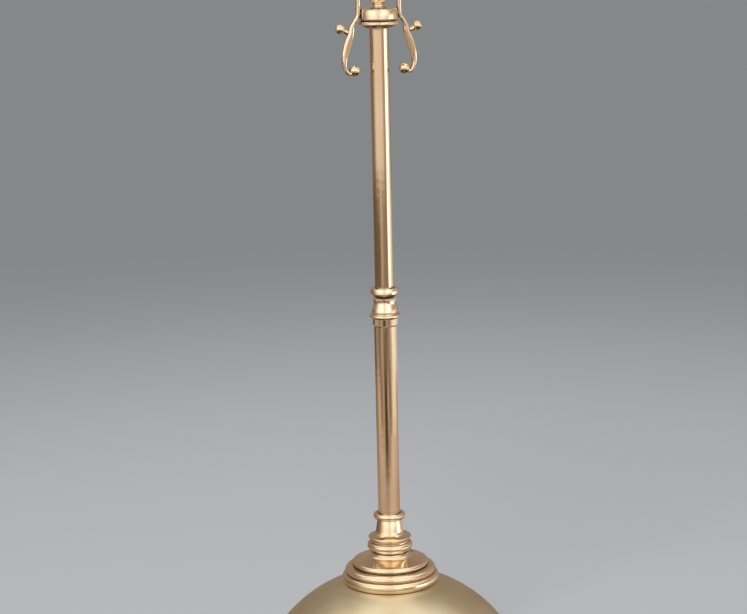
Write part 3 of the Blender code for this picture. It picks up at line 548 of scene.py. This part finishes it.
def make_dome():
    """The spun dome as a thin shell, its two faces arcs about one centre."""
    low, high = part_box("base_dome")
    edge_r = high.x
    crown_r = 0.007
    drop = high.z - low.z
    centre_z = (low.z**2 + edge_r**2 - high.z**2 - crown_r**2) / (2 * (low.z - high.z))
    outer_r = math.hypot(edge_r, low.z - centre_z)
    inner_r = outer_r - DOME_WALL
    outer, inner = [], []
    for i in range(DOME_STEPS + 1):
        z = high.z - drop * (math.sin(math.pi / 2 * i / DOME_STEPS) ** 2)
        outer.append(Vector((math.sqrt(max(outer_r**2 - (z - centre_z) ** 2, 0.0)), z)))
    for i in range(DOME_STEPS + 1):
        z = low.z + (high.z - DOME_WALL - low.z) * i / DOME_STEPS
        inner.append(Vector((math.sqrt(max(inner_r**2 - (z - centre_z) ** 2, crown_r**2)), z)))
    bm = lathe_mesh(outer + inner, SEGMENTS_WIDE, True)
    add_piece("base_dome_fine", bm, "satin_brass_look", "base", ["base_dome"])


# ---------------------------------------------------------------- stem


def make_stem():
    """Both tubes and the clamp between them."""
    for node, body, bore, outer in (("lower_tube", "base", 11.1, 12.7), ("upper_tube", "column", 9.5, 10.75)):
        low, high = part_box(node)
        length = (high.z - low.z) / MM
        tube = [(bore, length), (outer, length)]
        tube += [(outer, length * (1 - i / TUBE_RINGS)) for i in range(1, TUBE_RINGS)]
        tube += [(outer, 0.0), (bore, 0.0)]
        turned_piece(node, tube, "tube_brass", body)

    body = [(10.9, 454.7), (12.1, 454.7), (12.1, 451.9), (14.6, 451.9), (12.7, 447.6, -0.1), (12.7, 444.2)]
    body += [(13.2, 439.8, -0.05), (14.8, 433.2, 0.10), (14.5, 430.2, 0.22), (14.7, 429.8)]
    body += [(16.9, 428.8, 0.1), (17.6, 427.4, 0.3), (17.4, 426.0, 0.2), (16.6, 425.4), (14.6, 425.0)]
    body += [(14.3, 424.2), (14.2, 417.2), (13.6, 415.4, 0.2), (13.0, 415.2), (13.0, 429.5), (10.9, 429.5)]
    turned_piece("gland_body", body, "turned_brass", "base")

    nut = [(11.1, 459.8), (14.9, 459.8), (15.6, 459.3, 0.2), (16.3, 454.0, 0.06), (15.7, 452.5, 0.3)]
    nut += [(15.2, 452.2), (12.5, 452.2), (12.5, 458.4), (11.1, 458.4)]
    turned_piece("gland_nut", nut, "turned_brass", "clamp_nut")


# ---------------------------------------------------------------- head


def make_head_post():
    """Lip, ring, baluster, post and urn."""
    lip = [(3.3, 763.0), (21.0, 763.0), (22.6, 760.6, 0.25), (21.4, 757.8, 0.20), (18.6, 756.8, 0.05)]
    lip += [(18.0, 756.0, 0.1), (14.2, 755.0, 0.02), (3.3, 755.0)]
    turned_piece("head_lip", lip, "turned_brass", "column")

    ring = [(3.3, 777.0), (18.8, 777.0), (20.6, 776.2, 0.2), (21.2, 774.6, 0.1), (21.6, 766.6, 0.02)]
    ring += [(20.4, 763.9, 0.30), (19.4, 763.3), (3.3, 763.3)]
    turned_piece("head_ring", ring, "turned_brass", "column")

    baluster = [(3.3, 832.0), (9.2, 832.0), (11.6, 829.6, 0.40), (9.2, 827.2, 0.40), (8.4, 827.0)]
    baluster += [(7.4, 824.6, -0.2), (8.8, 812.0, -0.05), (12.5, 795.6, 0.02), (9.8, 784.4, 0.20)]
    baluster += [(6.4, 780.8, -0.10), (7.4, 778.4, -0.30), (9.4, 777.3), (3.3, 777.3)]
    turned_piece("head_baluster", baluster, "turned_brass", "column")

    post = [(3.3, 905.0), (9.0, 905.0), (9.0, 832.3), (3.3, 832.3)]
    turned_piece("head_post", post, "tube_brass", "column")

    urn = [(0.0, 994.6), (7.0, 993.7, 0.03), (17.6, 985.6, 0.14), (22.2, 974.6, 0.10), (22.4, 972.0)]
    urn += [(23.6, 971.4), (24.5, 969.4, 0.36), (24.5, 957.6), (23.6, 955.2, 0.3), (22.6, 954.6)]
    urn += [(22.4, 951.8), (18.8, 936.0, 0.07), (11.8, 918.0, 0.02), (10.4, 913.2, -0.22), (12.6, 912.0)]
    urn += [(14.0, 909.0, 0.40), (13.0, 905.6, 0.30), (12.6, 905.3), (0.0, 905.3)]
    turned_piece("head_urn", urn, "turned_brass", "column", closed=False)


def fit_strip(node, points, lead, tail, ends):
    """Fit a strip's path to its CAD node's box, then let it run on by lead and tail into its neighbours.

    ends says for low X, high X, low Z and high Z what share of half the thickness lies beyond the path.
    """
    low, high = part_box(node)
    path = smooth_path(points)
    half = STRIP_THICKNESS / 2
    x0, x1 = min(p.x for p in path) - half * ends[0], max(p.x for p in path) + half * ends[1]
    z0, z1 = min(p.y for p in path) - half * ends[2], max(p.y for p in path) + half * ends[3]
    inner, outer = sorted((abs(low.x), abs(high.x)))
    fitted = []
    for p in smooth_path(lead + points + tail):
        x = inner + (p.x - x0) / (x1 - x0) * (outer - inner)
        z = low.z + (p.y - z0) / (z1 - z0) * (high.z - low.z)
        fitted.append(Vector((x, z)))
    return fitted


def tapered_sections(count, thickness, depth, start_share, end_share, run=0.16):
    """Thickness and depth along a strip that slims towards its ends."""
    sections = []
    for i in range(count):
        t = i / (count - 1)
        share = 1.0
        if t < run:
            share = start_share + (1 - start_share) * math.sin(math.pi / 2 * t / run)
        if t > 1 - run:
            share = min(share, end_share + (1 - end_share) * math.sin(math.pi / 2 * (1 - t) / run))
        sections.append((thickness * share * MM, depth * (0.55 + 0.45 * share) * MM))
    return sections


def make_strip(node, path, taper, swell=0.0):
    """A fine bent strip that stands for one CAD scroll. Its belly under the head ring is thicker by swell."""
    side = -1 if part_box(node)[0].x < 0 else 1
    plain = tapered_sections(len(path), STRIP_THICKNESS, STRIP_DEPTH, *taper)
    sections = []
    for point, (width, deep) in zip(path, plain):
        belly = max(0.0, 1.0 - ((point.y / MM - BELLY_HEIGHT) / BELLY_REACH) ** 2)
        sections.append((width + swell * belly * MM, deep))
    bm = sweep_strip(path, sections)
    bmesh.ops.scale(bm, vec=(side, 1.0, 1.0), verts=bm.verts)
    return add_piece(node + "_fine", bm, "cast_brass", "column", [node])


def make_scrolls():
    """S arms, C scrolls and every ball."""
    arm = [(36.95, 706.2), (39.6, 709.8), (40.8, 716.5), (40.0, 725.0), (38.1, 732.8), (35.8, 740.2)]
    arm += [(33.4, 746.6), (32.0, 752.0), (31.1, 757.4), (28.4, 762.8), (25.2, 767.6), (24.1, 772.6)]
    arm += [(24.1, 790.0), (27.4, 804.0), (37.0, 815.6), (52.0, 821.6), (66.0, 822.9), (77.5, 823.1)]
    c_scroll = [(21.4, 940.0), (48.0, 941.4), (82.0, 938.0), (108.0, 922.0), (122.6, 898.0), (125.0, 874.0)]
    c_scroll += [(117.0, 851.0), (101.0, 834.6), (84.0, 828.4), (70.0, 829.4), (60.8, 834.6), (58.2, 841.2)]
    for label in ("left", "right"):
        arm_node, c_node = "scroll_arm_" + label, "c_scroll_" + label
        path = fit_strip(arm_node, arm, [(31.4, 706.4), (34.4, 705.0)], [], (1, 0, 0.7, 1))
        make_strip(arm_node, path, (0.80, 0.60), ARM_SWELL)
        path = fit_strip(c_node, c_scroll, [(18.6, 939.4)], [(60.4, 846.4)], (0, 1, 1, 1))
        make_strip(c_node, path, (0.9, 0.70))
        for kind in ("curl_ball_", "inner_ball_"):
            make_round_ball(kind + label)
        make_outer_ball(label)
        make_nub(label)


def make_round_ball(node):
    """A plain polished ball."""
    low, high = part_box(node)
    radius = (high.z - low.z) / 2
    matrix = axis_matrix((low + high) / 2, (0.0, 0.0, 1.0))
    place_turned(node, ball_profile(radius), matrix, "cast_brass", "column")


def make_outer_ball(label):
    """The small ball on its slanting stem."""
    node = "outer_ball_" + label
    side = -1 if label == "left" else 1
    stem_radius, root_inset, root_rise = 0.0026, 0.0003, 0.0016
    low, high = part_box(node)
    radius = (high.y - low.y) / 2
    outer_x = max(abs(low.x), abs(high.x))
    centre = Vector((side * (outer_x - radius), 0.0, high.z - radius))
    root = Vector((side * (min(abs(low.x), abs(high.x)) + root_inset), 0.0, low.z + root_rise))
    length = (centre - root).length
    profile = ball_profile(radius, stem_radius, -length)
    matrix = axis_matrix(centre, (centre - root).normalized())
    place_turned(node, profile, matrix, "cast_brass", "column")


def make_nub(label):
    """The ball-headed rivet under each C scroll."""
    node = "scroll_nub_" + label
    shank_radius = 0.0019
    low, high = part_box(node)
    radius = (high.x - low.x) / 2
    centre = Vector(((low.x + high.x) / 2, 0.0, low.z + radius))
    profile = ball_profile(radius, shank_radius, -(high.z - centre.z))
    matrix = axis_matrix(centre, (0.0, 0.0, 1.0)) @ Matrix.Rotation(math.pi, 4, "X")
    place_turned(node, profile, matrix, "cast_brass", "column")


# ---------------------------------------------------------------- book rest


def extrude_outlines(outlines, low, high, matrix, edge):
    """Fill flat outlines, inner ones as holes, give them thickness along local Z and round the edges."""
    curve = bpy.data.curves.new("outline", "CURVE")
    curve.dimensions = "2D"
    curve.fill_mode = "BOTH"
    curve.extrude = (high - low) / 2
    for outline in outlines:
        spline = curve.splines.new("POLY")
        spline.points.add(len(outline) - 1)
        for point, place in zip(spline.points, outline):
            point.co = (place[0], place[1], 0.0, 1.0)
        spline.use_cyclic_u = True
    source = bpy.data.objects.new("outline", curve)
    bpy.context.scene.collection.objects.link(source)
    bpy.context.view_layer.update()
    mesh = bpy.data.meshes.new_from_object(source.evaluated_get(bpy.context.evaluated_depsgraph_get()))
    bpy.data.objects.remove(source, do_unlink=True)
    bm = bmesh.new()
    bm.from_mesh(mesh)
    bpy.data.meshes.remove(mesh)
    bmesh.ops.remove_doubles(bm, verts=bm.verts, dist=1e-6)
    bmesh.ops.recalc_face_normals(bm, faces=bm.faces)
    bmesh.ops.dissolve_limit(bm, angle_limit=math.radians(0.5), verts=bm.verts, edges=bm.edges)
    sharp = [e for e in bm.edges if e.is_manifold and e.calc_face_angle() > math.radians(40.0)]
    bmesh.ops.bevel(bm, geom=sharp, offset=edge, segments=3, profile=0.5, affect="EDGES", clamp_overlap=True)
    shift = Matrix.Translation((0.0, 0.0, (low + high) / 2))
    bmesh.ops.transform(bm, matrix=matrix @ shift, verts=bm.verts)
    return bm


def desk_box(node):
    """A node's box in the book rest's own frame: X across, Y up the slope, Z towards the reader."""
    points = [WORLD_TO_DESK @ v.co for v in frame["nodes"][node].data.vertices]
    low = Vector([min(p[k] for p in points) for k in range(3)])
    high = Vector([max(p[k] for p in points) for k in range(3)])
    return low, high


def arc_points(centre, radius, start, end, count=CORNER_STEPS):
    """Points of an arc, angles in degrees."""
    points = []
    for i in range(count + 1):
        angle = math.radians(start + (end - start) * i / count)
        points.append(Vector((centre[0] + radius * math.cos(angle), centre[1] + radius * math.sin(angle))))
    return points


def rounded_rectangle(x0, y0, x1, y1, radius):
    """Outline of a rectangle with round corners."""
    outline = arc_points((x1 - radius, y1 - radius), radius, 0.0, 90.0)
    outline += arc_points((x0 + radius, y1 - radius), radius, 90.0, 180.0)
    outline += arc_points((x0 + radius, y0 + radius), radius, 180.0, 270.0)
    outline += arc_points((x1 - radius, y0 + radius), radius, 270.0, 360.0)
    return outline


def make_book_rest():
    """Frame, scrolls, ledge, crossbar, cheeks and screws of the tilting rest."""
    low, high = desk_box("book_rest_frame")
    crest_rise, crest_half, crest_steps = 0.022, 0.080, 40
    corner, border, bar_half, opening_corner = 0.014, 0.012, 0.009, 0.008
    shoulder = high.y - crest_rise
    outline = arc_points((high.x - corner, low.y + corner), corner, -90.0, 0.0)
    outline += arc_points((high.x - corner, shoulder - corner), corner, 0.0, 90.0)
    for i in range(crest_steps + 1):
        x = crest_half - 2 * crest_half * i / crest_steps
        outline.append(Vector((x, shoulder + crest_rise * 0.5 * (1 + math.cos(math.pi * x / crest_half)))))
    outline += arc_points((low.x + corner, shoulder - corner), corner, 90.0, 180.0)
    outline += arc_points((low.x + corner, low.y + corner), corner, 180.0, 270.0)
    openings = []
    for side in (-1, 1):
        edges = sorted((side * bar_half, side * (high.x - border)))
        opening = (edges[0], low.y + border, edges[1], shoulder - border)
        openings.append(rounded_rectangle(*opening, opening_corner))
    bm = extrude_outlines([outline] + openings, low.z, high.z, DESK_TO_WORLD, PLATE_EDGE)
    add_piece("book_rest_frame_fine", bm, "cast_brass", "book_rest", ["book_rest_frame"])
    for label in ("left", "right"):
        make_rest_scroll(label)
    make_ledge()
    make_yoke()


def make_rest_scroll(label):
    """A flat S scroll in one opening of the rest, its two curls slimming to their tips."""
    node = "rest_scroll_" + label
    side = -1 if label == "left" else 1
    low, high = desk_box(node)
    upper = [(14.0, 40.0), (4.0, 46.0), (-2.0, 62.0), (10.0, 80.0), (34.0, 84.0), (52.0, 66.0), (46.0, 40.0)]
    upper += [(24.0, 18.0)]
    lower = [(-x, -y) for x, y in reversed(upper)]
    path = smooth_path(upper + [(0.0, 0.0)] + lower)
    thickness, wire_depth = 4.0, 3.0
    tip_radius = 0.0034
    half_x = (high.x - low.x) / 2 - thickness / 2 * MM
    half_y = (high.y - low.y) / 2 - thickness / 2 * MM
    scale_x = half_x / max(p.x for p in path)
    scale_y = half_y / max(p.y for p in path)
    middle = (low + high) / 2
    placed = [Vector((middle.x + side * p.x * scale_x, middle.y + p.y * scale_y)) for p in path]
    depth = high.z - low.z
    tapered = tapered_sections(len(placed), thickness, wire_depth, 0.7, 0.7, 0.08)
    bm = sweep_strip(placed, [(width, min(deep, depth)) for width, deep in tapered])
    upright = Matrix.Rotation(-math.pi / 2, 4, "X")
    lay_flat = DESK_TO_WORLD @ Matrix.Translation((0.0, 0.0, middle.z)) @ upright
    bmesh.ops.transform(bm, matrix=lay_flat, verts=bm.verts)
    for tip in (placed[0], placed[-1]):
        bmesh.ops.create_uvsphere(
            bm,
            u_segments=32,
            v_segments=16,
            radius=tip_radius,
            matrix=DESK_TO_WORLD @ Matrix.Translation((tip.x, tip.y, middle.z)),
        )
    add_piece(node + "_fine", bm, "cast_brass", "book_rest", [node])


def make_ledge():
    """The ledge as one folded plate with a turned-up lip."""
    low, high = desk_box("book_ledge")
    thick, fold_radius, ledge_edge = 0.003, 0.0012, 0.0005
    outline = [(low.y, low.z), (low.y, high.z), (high.y, high.z), (high.y, high.z - thick)]
    outline += [(low.y + thick, high.z - thick), (low.y + thick, low.z)]
    line = soften([Vector(p) for p in outline], fold_radius, True)
    bm = extrude_outlines([line], low.x, high.x, DESK_TO_WORLD @ SIDEWAYS, ledge_edge)
    add_piece("book_ledge_fine", bm, "cast_brass", "book_rest", ["book_ledge"])


def make_yoke():
    """Crossbar, two cheeks with round eyes, and the screws through the middle bar."""
    bar_corner, eye_radius, shank_radius, head_height = 0.003, 0.0033, 0.0016, 0.0018
    low, high = desk_box("yoke_crossbar")
    bar = rounded_rectangle(low.x, low.y, high.x, high.y, bar_corner)
    bm = extrude_outlines([bar], low.z, high.z, DESK_TO_WORLD, PLATE_EDGE)
    add_piece("yoke_crossbar_fine", bm, "cast_brass", "book_rest", ["yoke_crossbar"])
    for label in ("left", "right"):
        node = "yoke_cheek_" + label
        low, high = desk_box(node)
        half = high.y
        outline = arc_points((0.0, 0.0), half, 180.0, 360.0, 40)
        outline += [Vector((half, high.z)), Vector((-half, high.z))]
        eye = arc_points((0.0, 0.0), eye_radius, 0.0, 352.5, 47)
        bm = extrude_outlines([outline, eye], low.x, high.x, DESK_TO_WORLD @ SIDEWAYS, PLATE_EDGE)
        add_piece(node + "_fine", bm, "cast_brass", "book_rest", [node])
    for label in ("lower", "upper"):
        node = "rest_screw_" + label
        low, high = desk_box(node)
        middle = (low + high) / 2
        head_r = (high.x - low.x) / 2
        head_z = high.z - head_height
        profile = [(0.0, high.z), (head_r, head_z, 0.28), (shank_radius, head_z), (shank_radius, low.z)]
        profile += [(0.0, low.z)]
        matrix = DESK_TO_WORLD @ Matrix.Translation((0.0, middle.y, 0.0))
        place_turned(node, profile, matrix, "turned_brass", "book_rest", SEGMENTS_SCREW)


def make_tilt_knobs():
    """The two ball knobs on the tilt bolt, each with a collar and a blind hole for the bolt's end."""
    flattening, join = 0.985, math.radians(132.0)
    collar = [(0.0046, 0.0042, -0.2), (0.0052, 0.0036), (0.0066, 0.0026, 0.3), (0.0066, 0.0006)]
    underside = [(0.0060, 0.0), (0.0033, 0.0), (0.0033, 0.0080), (0.0, 0.0080)]
    for label in ("left", "right"):
        node = "tilt_knob_" + label
        side = -1 if label == "left" else 1
        low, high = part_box(node)
        radius = (high.z - low.z) / 2
        inner_x, outer_x = sorted((abs(low.x), abs(high.x)))
        centre_x = outer_x - radius * flattening
        ball = [(0.0, outer_x)]
        for i in range(1, BALL_STEPS + 1):
            angle = join * i / BALL_STEPS
            ball.append((radius * math.sin(angle), centre_x + radius * math.cos(angle) * flattening))
        ball += [(across, inner_x + rise, *bulge) for across, rise, *bulge in collar + underside]
        matrix = axis_matrix(Vector((0.0, 0.0, PIVOT.z)), (side, 0.0, 0.0))
        place_turned(node, ball, matrix, "turned_brass", "knob_" + label)


def finish_kept_nodes():
    """Give the CAD nodes that stay their materials and a small bevel."""
    looks = {
        "polished_brass": "turned_brass",
        "steel": "steel_look",
        "cast_iron": "cast_iron_look",
        "fibre": "fibre_look",
    }
    slots = {s["node"]: s["material_slot"] for s in frame["record"]["subparts"]}
    for name, node in frame["nodes"].items():
        if node.hide_render:
            continue
        material = MATERIALS[looks[slots[name]]]
        node.data.materials.clear()
        node.data.materials.append(material)
        bevel = node.modifiers.new("edge", "BEVEL")
        bevel.width = 0.0003
        bevel.segments = 2
        bevel.limit_method = "ANGLE"
        bevel.angle_limit = math.radians(40.0)


# ---------------------------------------------------------------- stage


def make_floor():
    """A wide pale floor that fades into the backdrop."""
    bm = bmesh.new()
    bmesh.ops.create_circle(bm, cap_ends=True, segments=96, radius=4.0)
    mesh = bpy.data.meshes.new("studio_floor")
    bm.to_mesh(mesh)
    bm.free()
    floor = bpy.data.objects.new("studio_floor", mesh)
    floor.location.z = -0.0003
    bpy.context.scene.collection.objects.link(floor)
    floor.visible_glossy = False
    nodes, shader, place = new_material("floor_look")
    mesh.materials.append(MATERIALS["floor_look"])
    shader.inputs["Base Color"].default_value = (0.44, 0.45, 0.46, 1.0)
    shader.inputs["Roughness"].default_value = 0.9
    shader.inputs["Specular IOR Level"].default_value = 0.1
    length = nodes.add("ShaderNodeVectorMath", operation="LENGTH")
    nodes.link(place, length.inputs[0])
    fade = nodes.spread(length.outputs["Value"], 0.5, 3.0, 1.0, 0.0)
    fade.node.interpolation_type = "SMOOTHERSTEP"
    nodes.link(fade, shader.inputs["Alpha"])


def angle_to_place(side_share):
    """Where a tube reflects from: a share of its half width, as a place on the room's ramp."""
    return 0.5 + 2 * math.asin(side_share) / math.tau


def glow(level):
    """A room colour of the given brightness: dark ones warm, bright ones a little cool."""
    warm = max(0.0, 1.0 - level)
    tint = (1.0 + 0.14 * warm, 1.03 - 0.14 * warm, 1.10 - 0.38 * warm)
    return tuple(level * share for share in tint)


def make_world():
    """A plain backdrop for the camera, and a room with a window on the right for the brass to reflect."""
    world = bpy.data.worlds.new("studio")
    bpy.context.scene.world = world
    world.use_nodes = True
    world.cycles.sampling_method = "NONE"
    nodes = Nodes(world.node_tree)
    output = world.node_tree.nodes["World Output"]
    background = world.node_tree.nodes["Background"]
    direction = nodes.add("ShaderNodeTexCoord").outputs["Generated"]
    turn = nodes.add("ShaderNodeVectorRotate", rotation_type="Z_AXIS")
    turn.inputs["Angle"].default_value = -CAMERA_AZIMUTH
    nodes.link(direction, turn.inputs["Vector"])
    split = nodes.add("ShaderNodeSeparateXYZ")
    nodes.link(turn.outputs[0], split.inputs[0])
    azimuth = nodes.math("ARCTAN2", split.outputs[0], nodes.math("MULTIPLY", split.outputs[1], -1.0))
    around = nodes.math("ADD", nodes.math("DIVIDE", azimuth, math.tau), 0.5)
    elevation = nodes.math("ARCSINE", split.outputs[2])

    def room(*stops):
        return nodes.ramp(around, [(angle_to_place(share), glow(level)) for share, level in stops])

    def step(below, above, from_deg, to_deg):
        share = nodes.spread(elevation, math.radians(from_deg), math.radians(to_deg), 0.0, 1.0)
        return nodes.mix(share, below, above)

    # The room's bands, from above the stand's head down to the floor. A stop is where on an upright tube the
    # camera sees it, from -1 at the left edge to 1 at the right edge, and how bright it is.
    high = room(
        (-0.99, 0.30), (-0.86, 0.28), (-0.72, 0.34), (-0.56, 1.00), (-0.36, 1.60), (-0.16, 1.40),
        (-0.04, 1.00), (0.06, 1.10), (0.16, 1.70), (0.36, 1.60), (0.50, 1.05), (0.62, 0.55), (0.72, 0.40),
        (0.84, 0.50), (0.99, 0.30),
    )
    upper = room(
        (-0.99, 0.25), (-0.80, 0.18), (-0.66, 0.34), (-0.54, 0.74), (-0.40, 0.86), (0.19, 0.80), (0.28, 0.48),
        (0.40, 0.38), (0.50, 0.60), (0.56, 2.60), (0.72, 2.60), (0.78, 0.80), (0.90, 0.55), (0.97, 0.16),
    )
    middle = room(
        (-0.99, 0.20), (-0.90, 0.13), (-0.38, 0.15), (-0.28, 0.32), (-0.17, 0.52), (-0.05, 0.40),
        (0.08, 0.28), (0.38, 0.25), (0.47, 0.70), (0.53, 2.40), (0.66, 2.20), (0.72, 1.00), (0.83, 0.85),
        (0.95, 0.35),
    )
    desk = room(
        (-0.99, 0.15), (-0.86, 0.12), (-0.76, 0.40), (-0.60, 0.20), (-0.48, 0.22), (-0.36, 0.48),
        (-0.24, 0.36), (-0.14, 0.19), (0.10, 0.17), (0.24, 0.25), (0.40, 0.46), (0.52, 0.54), (0.62, 1.05),
        (0.74, 1.15), (0.95, 0.70),
    )
    gap = room(
        (-0.99, 0.20), (-0.85, 0.28), (-0.70, 0.60), (-0.60, 0.56), (-0.50, 0.24), (-0.40, 0.24),
        (-0.28, 0.44), (-0.20, 0.30), (-0.13, 0.03), (0.01, 0.03), (0.08, 0.45), (0.18, 0.48), (0.27, 0.17),
        (0.38, 0.15), (0.46, 0.60), (0.56, 0.95), (0.78, 0.90), (0.90, 0.42),
    )
    rug = room(
        (-0.99, 0.25), (-0.85, 0.33), (-0.72, 0.48), (-0.50, 0.60), (-0.26, 0.46), (-0.17, 0.08),
        (-0.02, 0.08), (0.06, 0.18), (0.14, 0.24), (0.24, 0.45), (0.44, 0.72), (0.60, 0.60), (0.95, 0.42),
    )
    near = room(
        (-0.99, 0.30), (-0.80, 0.38), (-0.60, 0.50), (-0.25, 0.48), (-0.15, 0.42), (0.00, 0.48),
        (0.20, 0.62), (0.50, 0.60), (0.75, 0.48), (0.90, 0.38),
    )
    ceiling = room((-0.99, 0.26), (-0.94, 0.34), (-0.86, 1.05), (0.86, 1.05), (0.94, 0.34), (0.99, 0.26))
    room_colour = step(glow(0.04), near, -44.0, -26.0)
    room_colour = step(room_colour, rug, -16.6, -16.0)
    room_colour = step(room_colour, gap, -15.4, -15.0)
    room_colour = step(room_colour, desk, -14.2, -13.6)
    room_colour = step(room_colour, middle, -12.6, -11.8)
    room_colour = step(room_colour, upper, -9.7, -8.9)
    room_colour = step(room_colour, high, -4.6, 0.6)
    room_colour = step(room_colour, ceiling, 30.0, 46.0)
    room_colour = step(room_colour, glow(1.42), 56.0, 66.0)

    path = nodes.add("ShaderNodeLightPath")
    backdrop = nodes.mix(path.outputs["Is Camera Ray"], (0.50, 0.51, 0.53), (0.235, 0.245, 0.252))
    nodes.link(nodes.mix(path.outputs["Is Glossy Ray"], backdrop, room_colour), background.inputs["Color"])
    nodes.link(background.outputs[0], output.inputs["Surface"])


def add_light(name, azimuth, elevation, distance, size, power, colour, aim_z):
    """An area light on a sphere round the stand."""
    light = bpy.data.lights.new(name, "AREA")
    light.shape = "DISK"
    light.size = size
    light.energy = power
    light.color = colour
    lamp = bpy.data.objects.new(name, light)
    lamp.visible_glossy = False
    bpy.context.scene.collection.objects.link(lamp)
    a, e = math.radians(azimuth), math.radians(elevation)
    back = Vector((math.sin(a) * math.cos(e), -math.cos(a) * math.cos(e), math.sin(e)))
    lamp.location = Vector((0.0, 0.0, aim_z)) + back * distance
    lamp.rotation_euler = back.to_track_quat("Z", "Y").to_euler()


def make_lights():
    """A soft key from the upper left front, a fill from the right and a weak light from behind."""
    add_light("key", -40.0, 48.0, 3.4, 1.5, 75.0, (1.0, 0.97, 0.93), 0.5)
    add_light("fill", 60.0, 30.0, 3.6, 1.8, 26.0, (0.94, 0.97, 1.0), 0.5)
    add_light("back", 170.0, 40.0, 3.6, 1.6, 22.0, (1.0, 1.0, 1.0), 0.6)


def make_camera():
    """A long lens a metre above the floor, a little left of the front, that looks down the stem."""
    data = bpy.data.cameras.new("camera")
    data.lens = CAMERA_LENS
    data.sensor_width = SENSOR_WIDTH
    camera = bpy.data.objects.new("camera", data)
    bpy.context.scene.collection.objects.link(camera)
    back = Vector((math.sin(CAMERA_AZIMUTH), -math.cos(CAMERA_AZIMUTH), 0.0))
    camera.location = back * CAMERA_DISTANCE + Vector((0.0, 0.0, CAMERA_HEIGHT))
    yaw = Matrix.Rotation(CAMERA_AZIMUTH + CAMERA_AIM_LEFT, 4, "Z")
    pitch = Matrix.Rotation(math.radians(90.0) - CAMERA_PITCH, 4, "X")
    roll = Matrix.Rotation(-CAMERA_ROLL, 4, "Z")
    camera.rotation_euler = (yaw @ pitch @ roll).to_euler()
    bpy.context.scene.camera = camera


make_materials()
make_foot()
make_stem()
make_head_post()
make_scrolls()
make_book_rest()
make_tilt_knobs()
finish_kept_nodes()
make_floor()
make_world()
make_lights()
make_camera()
bpy.context.scene.view_settings.view_transform = "Standard"
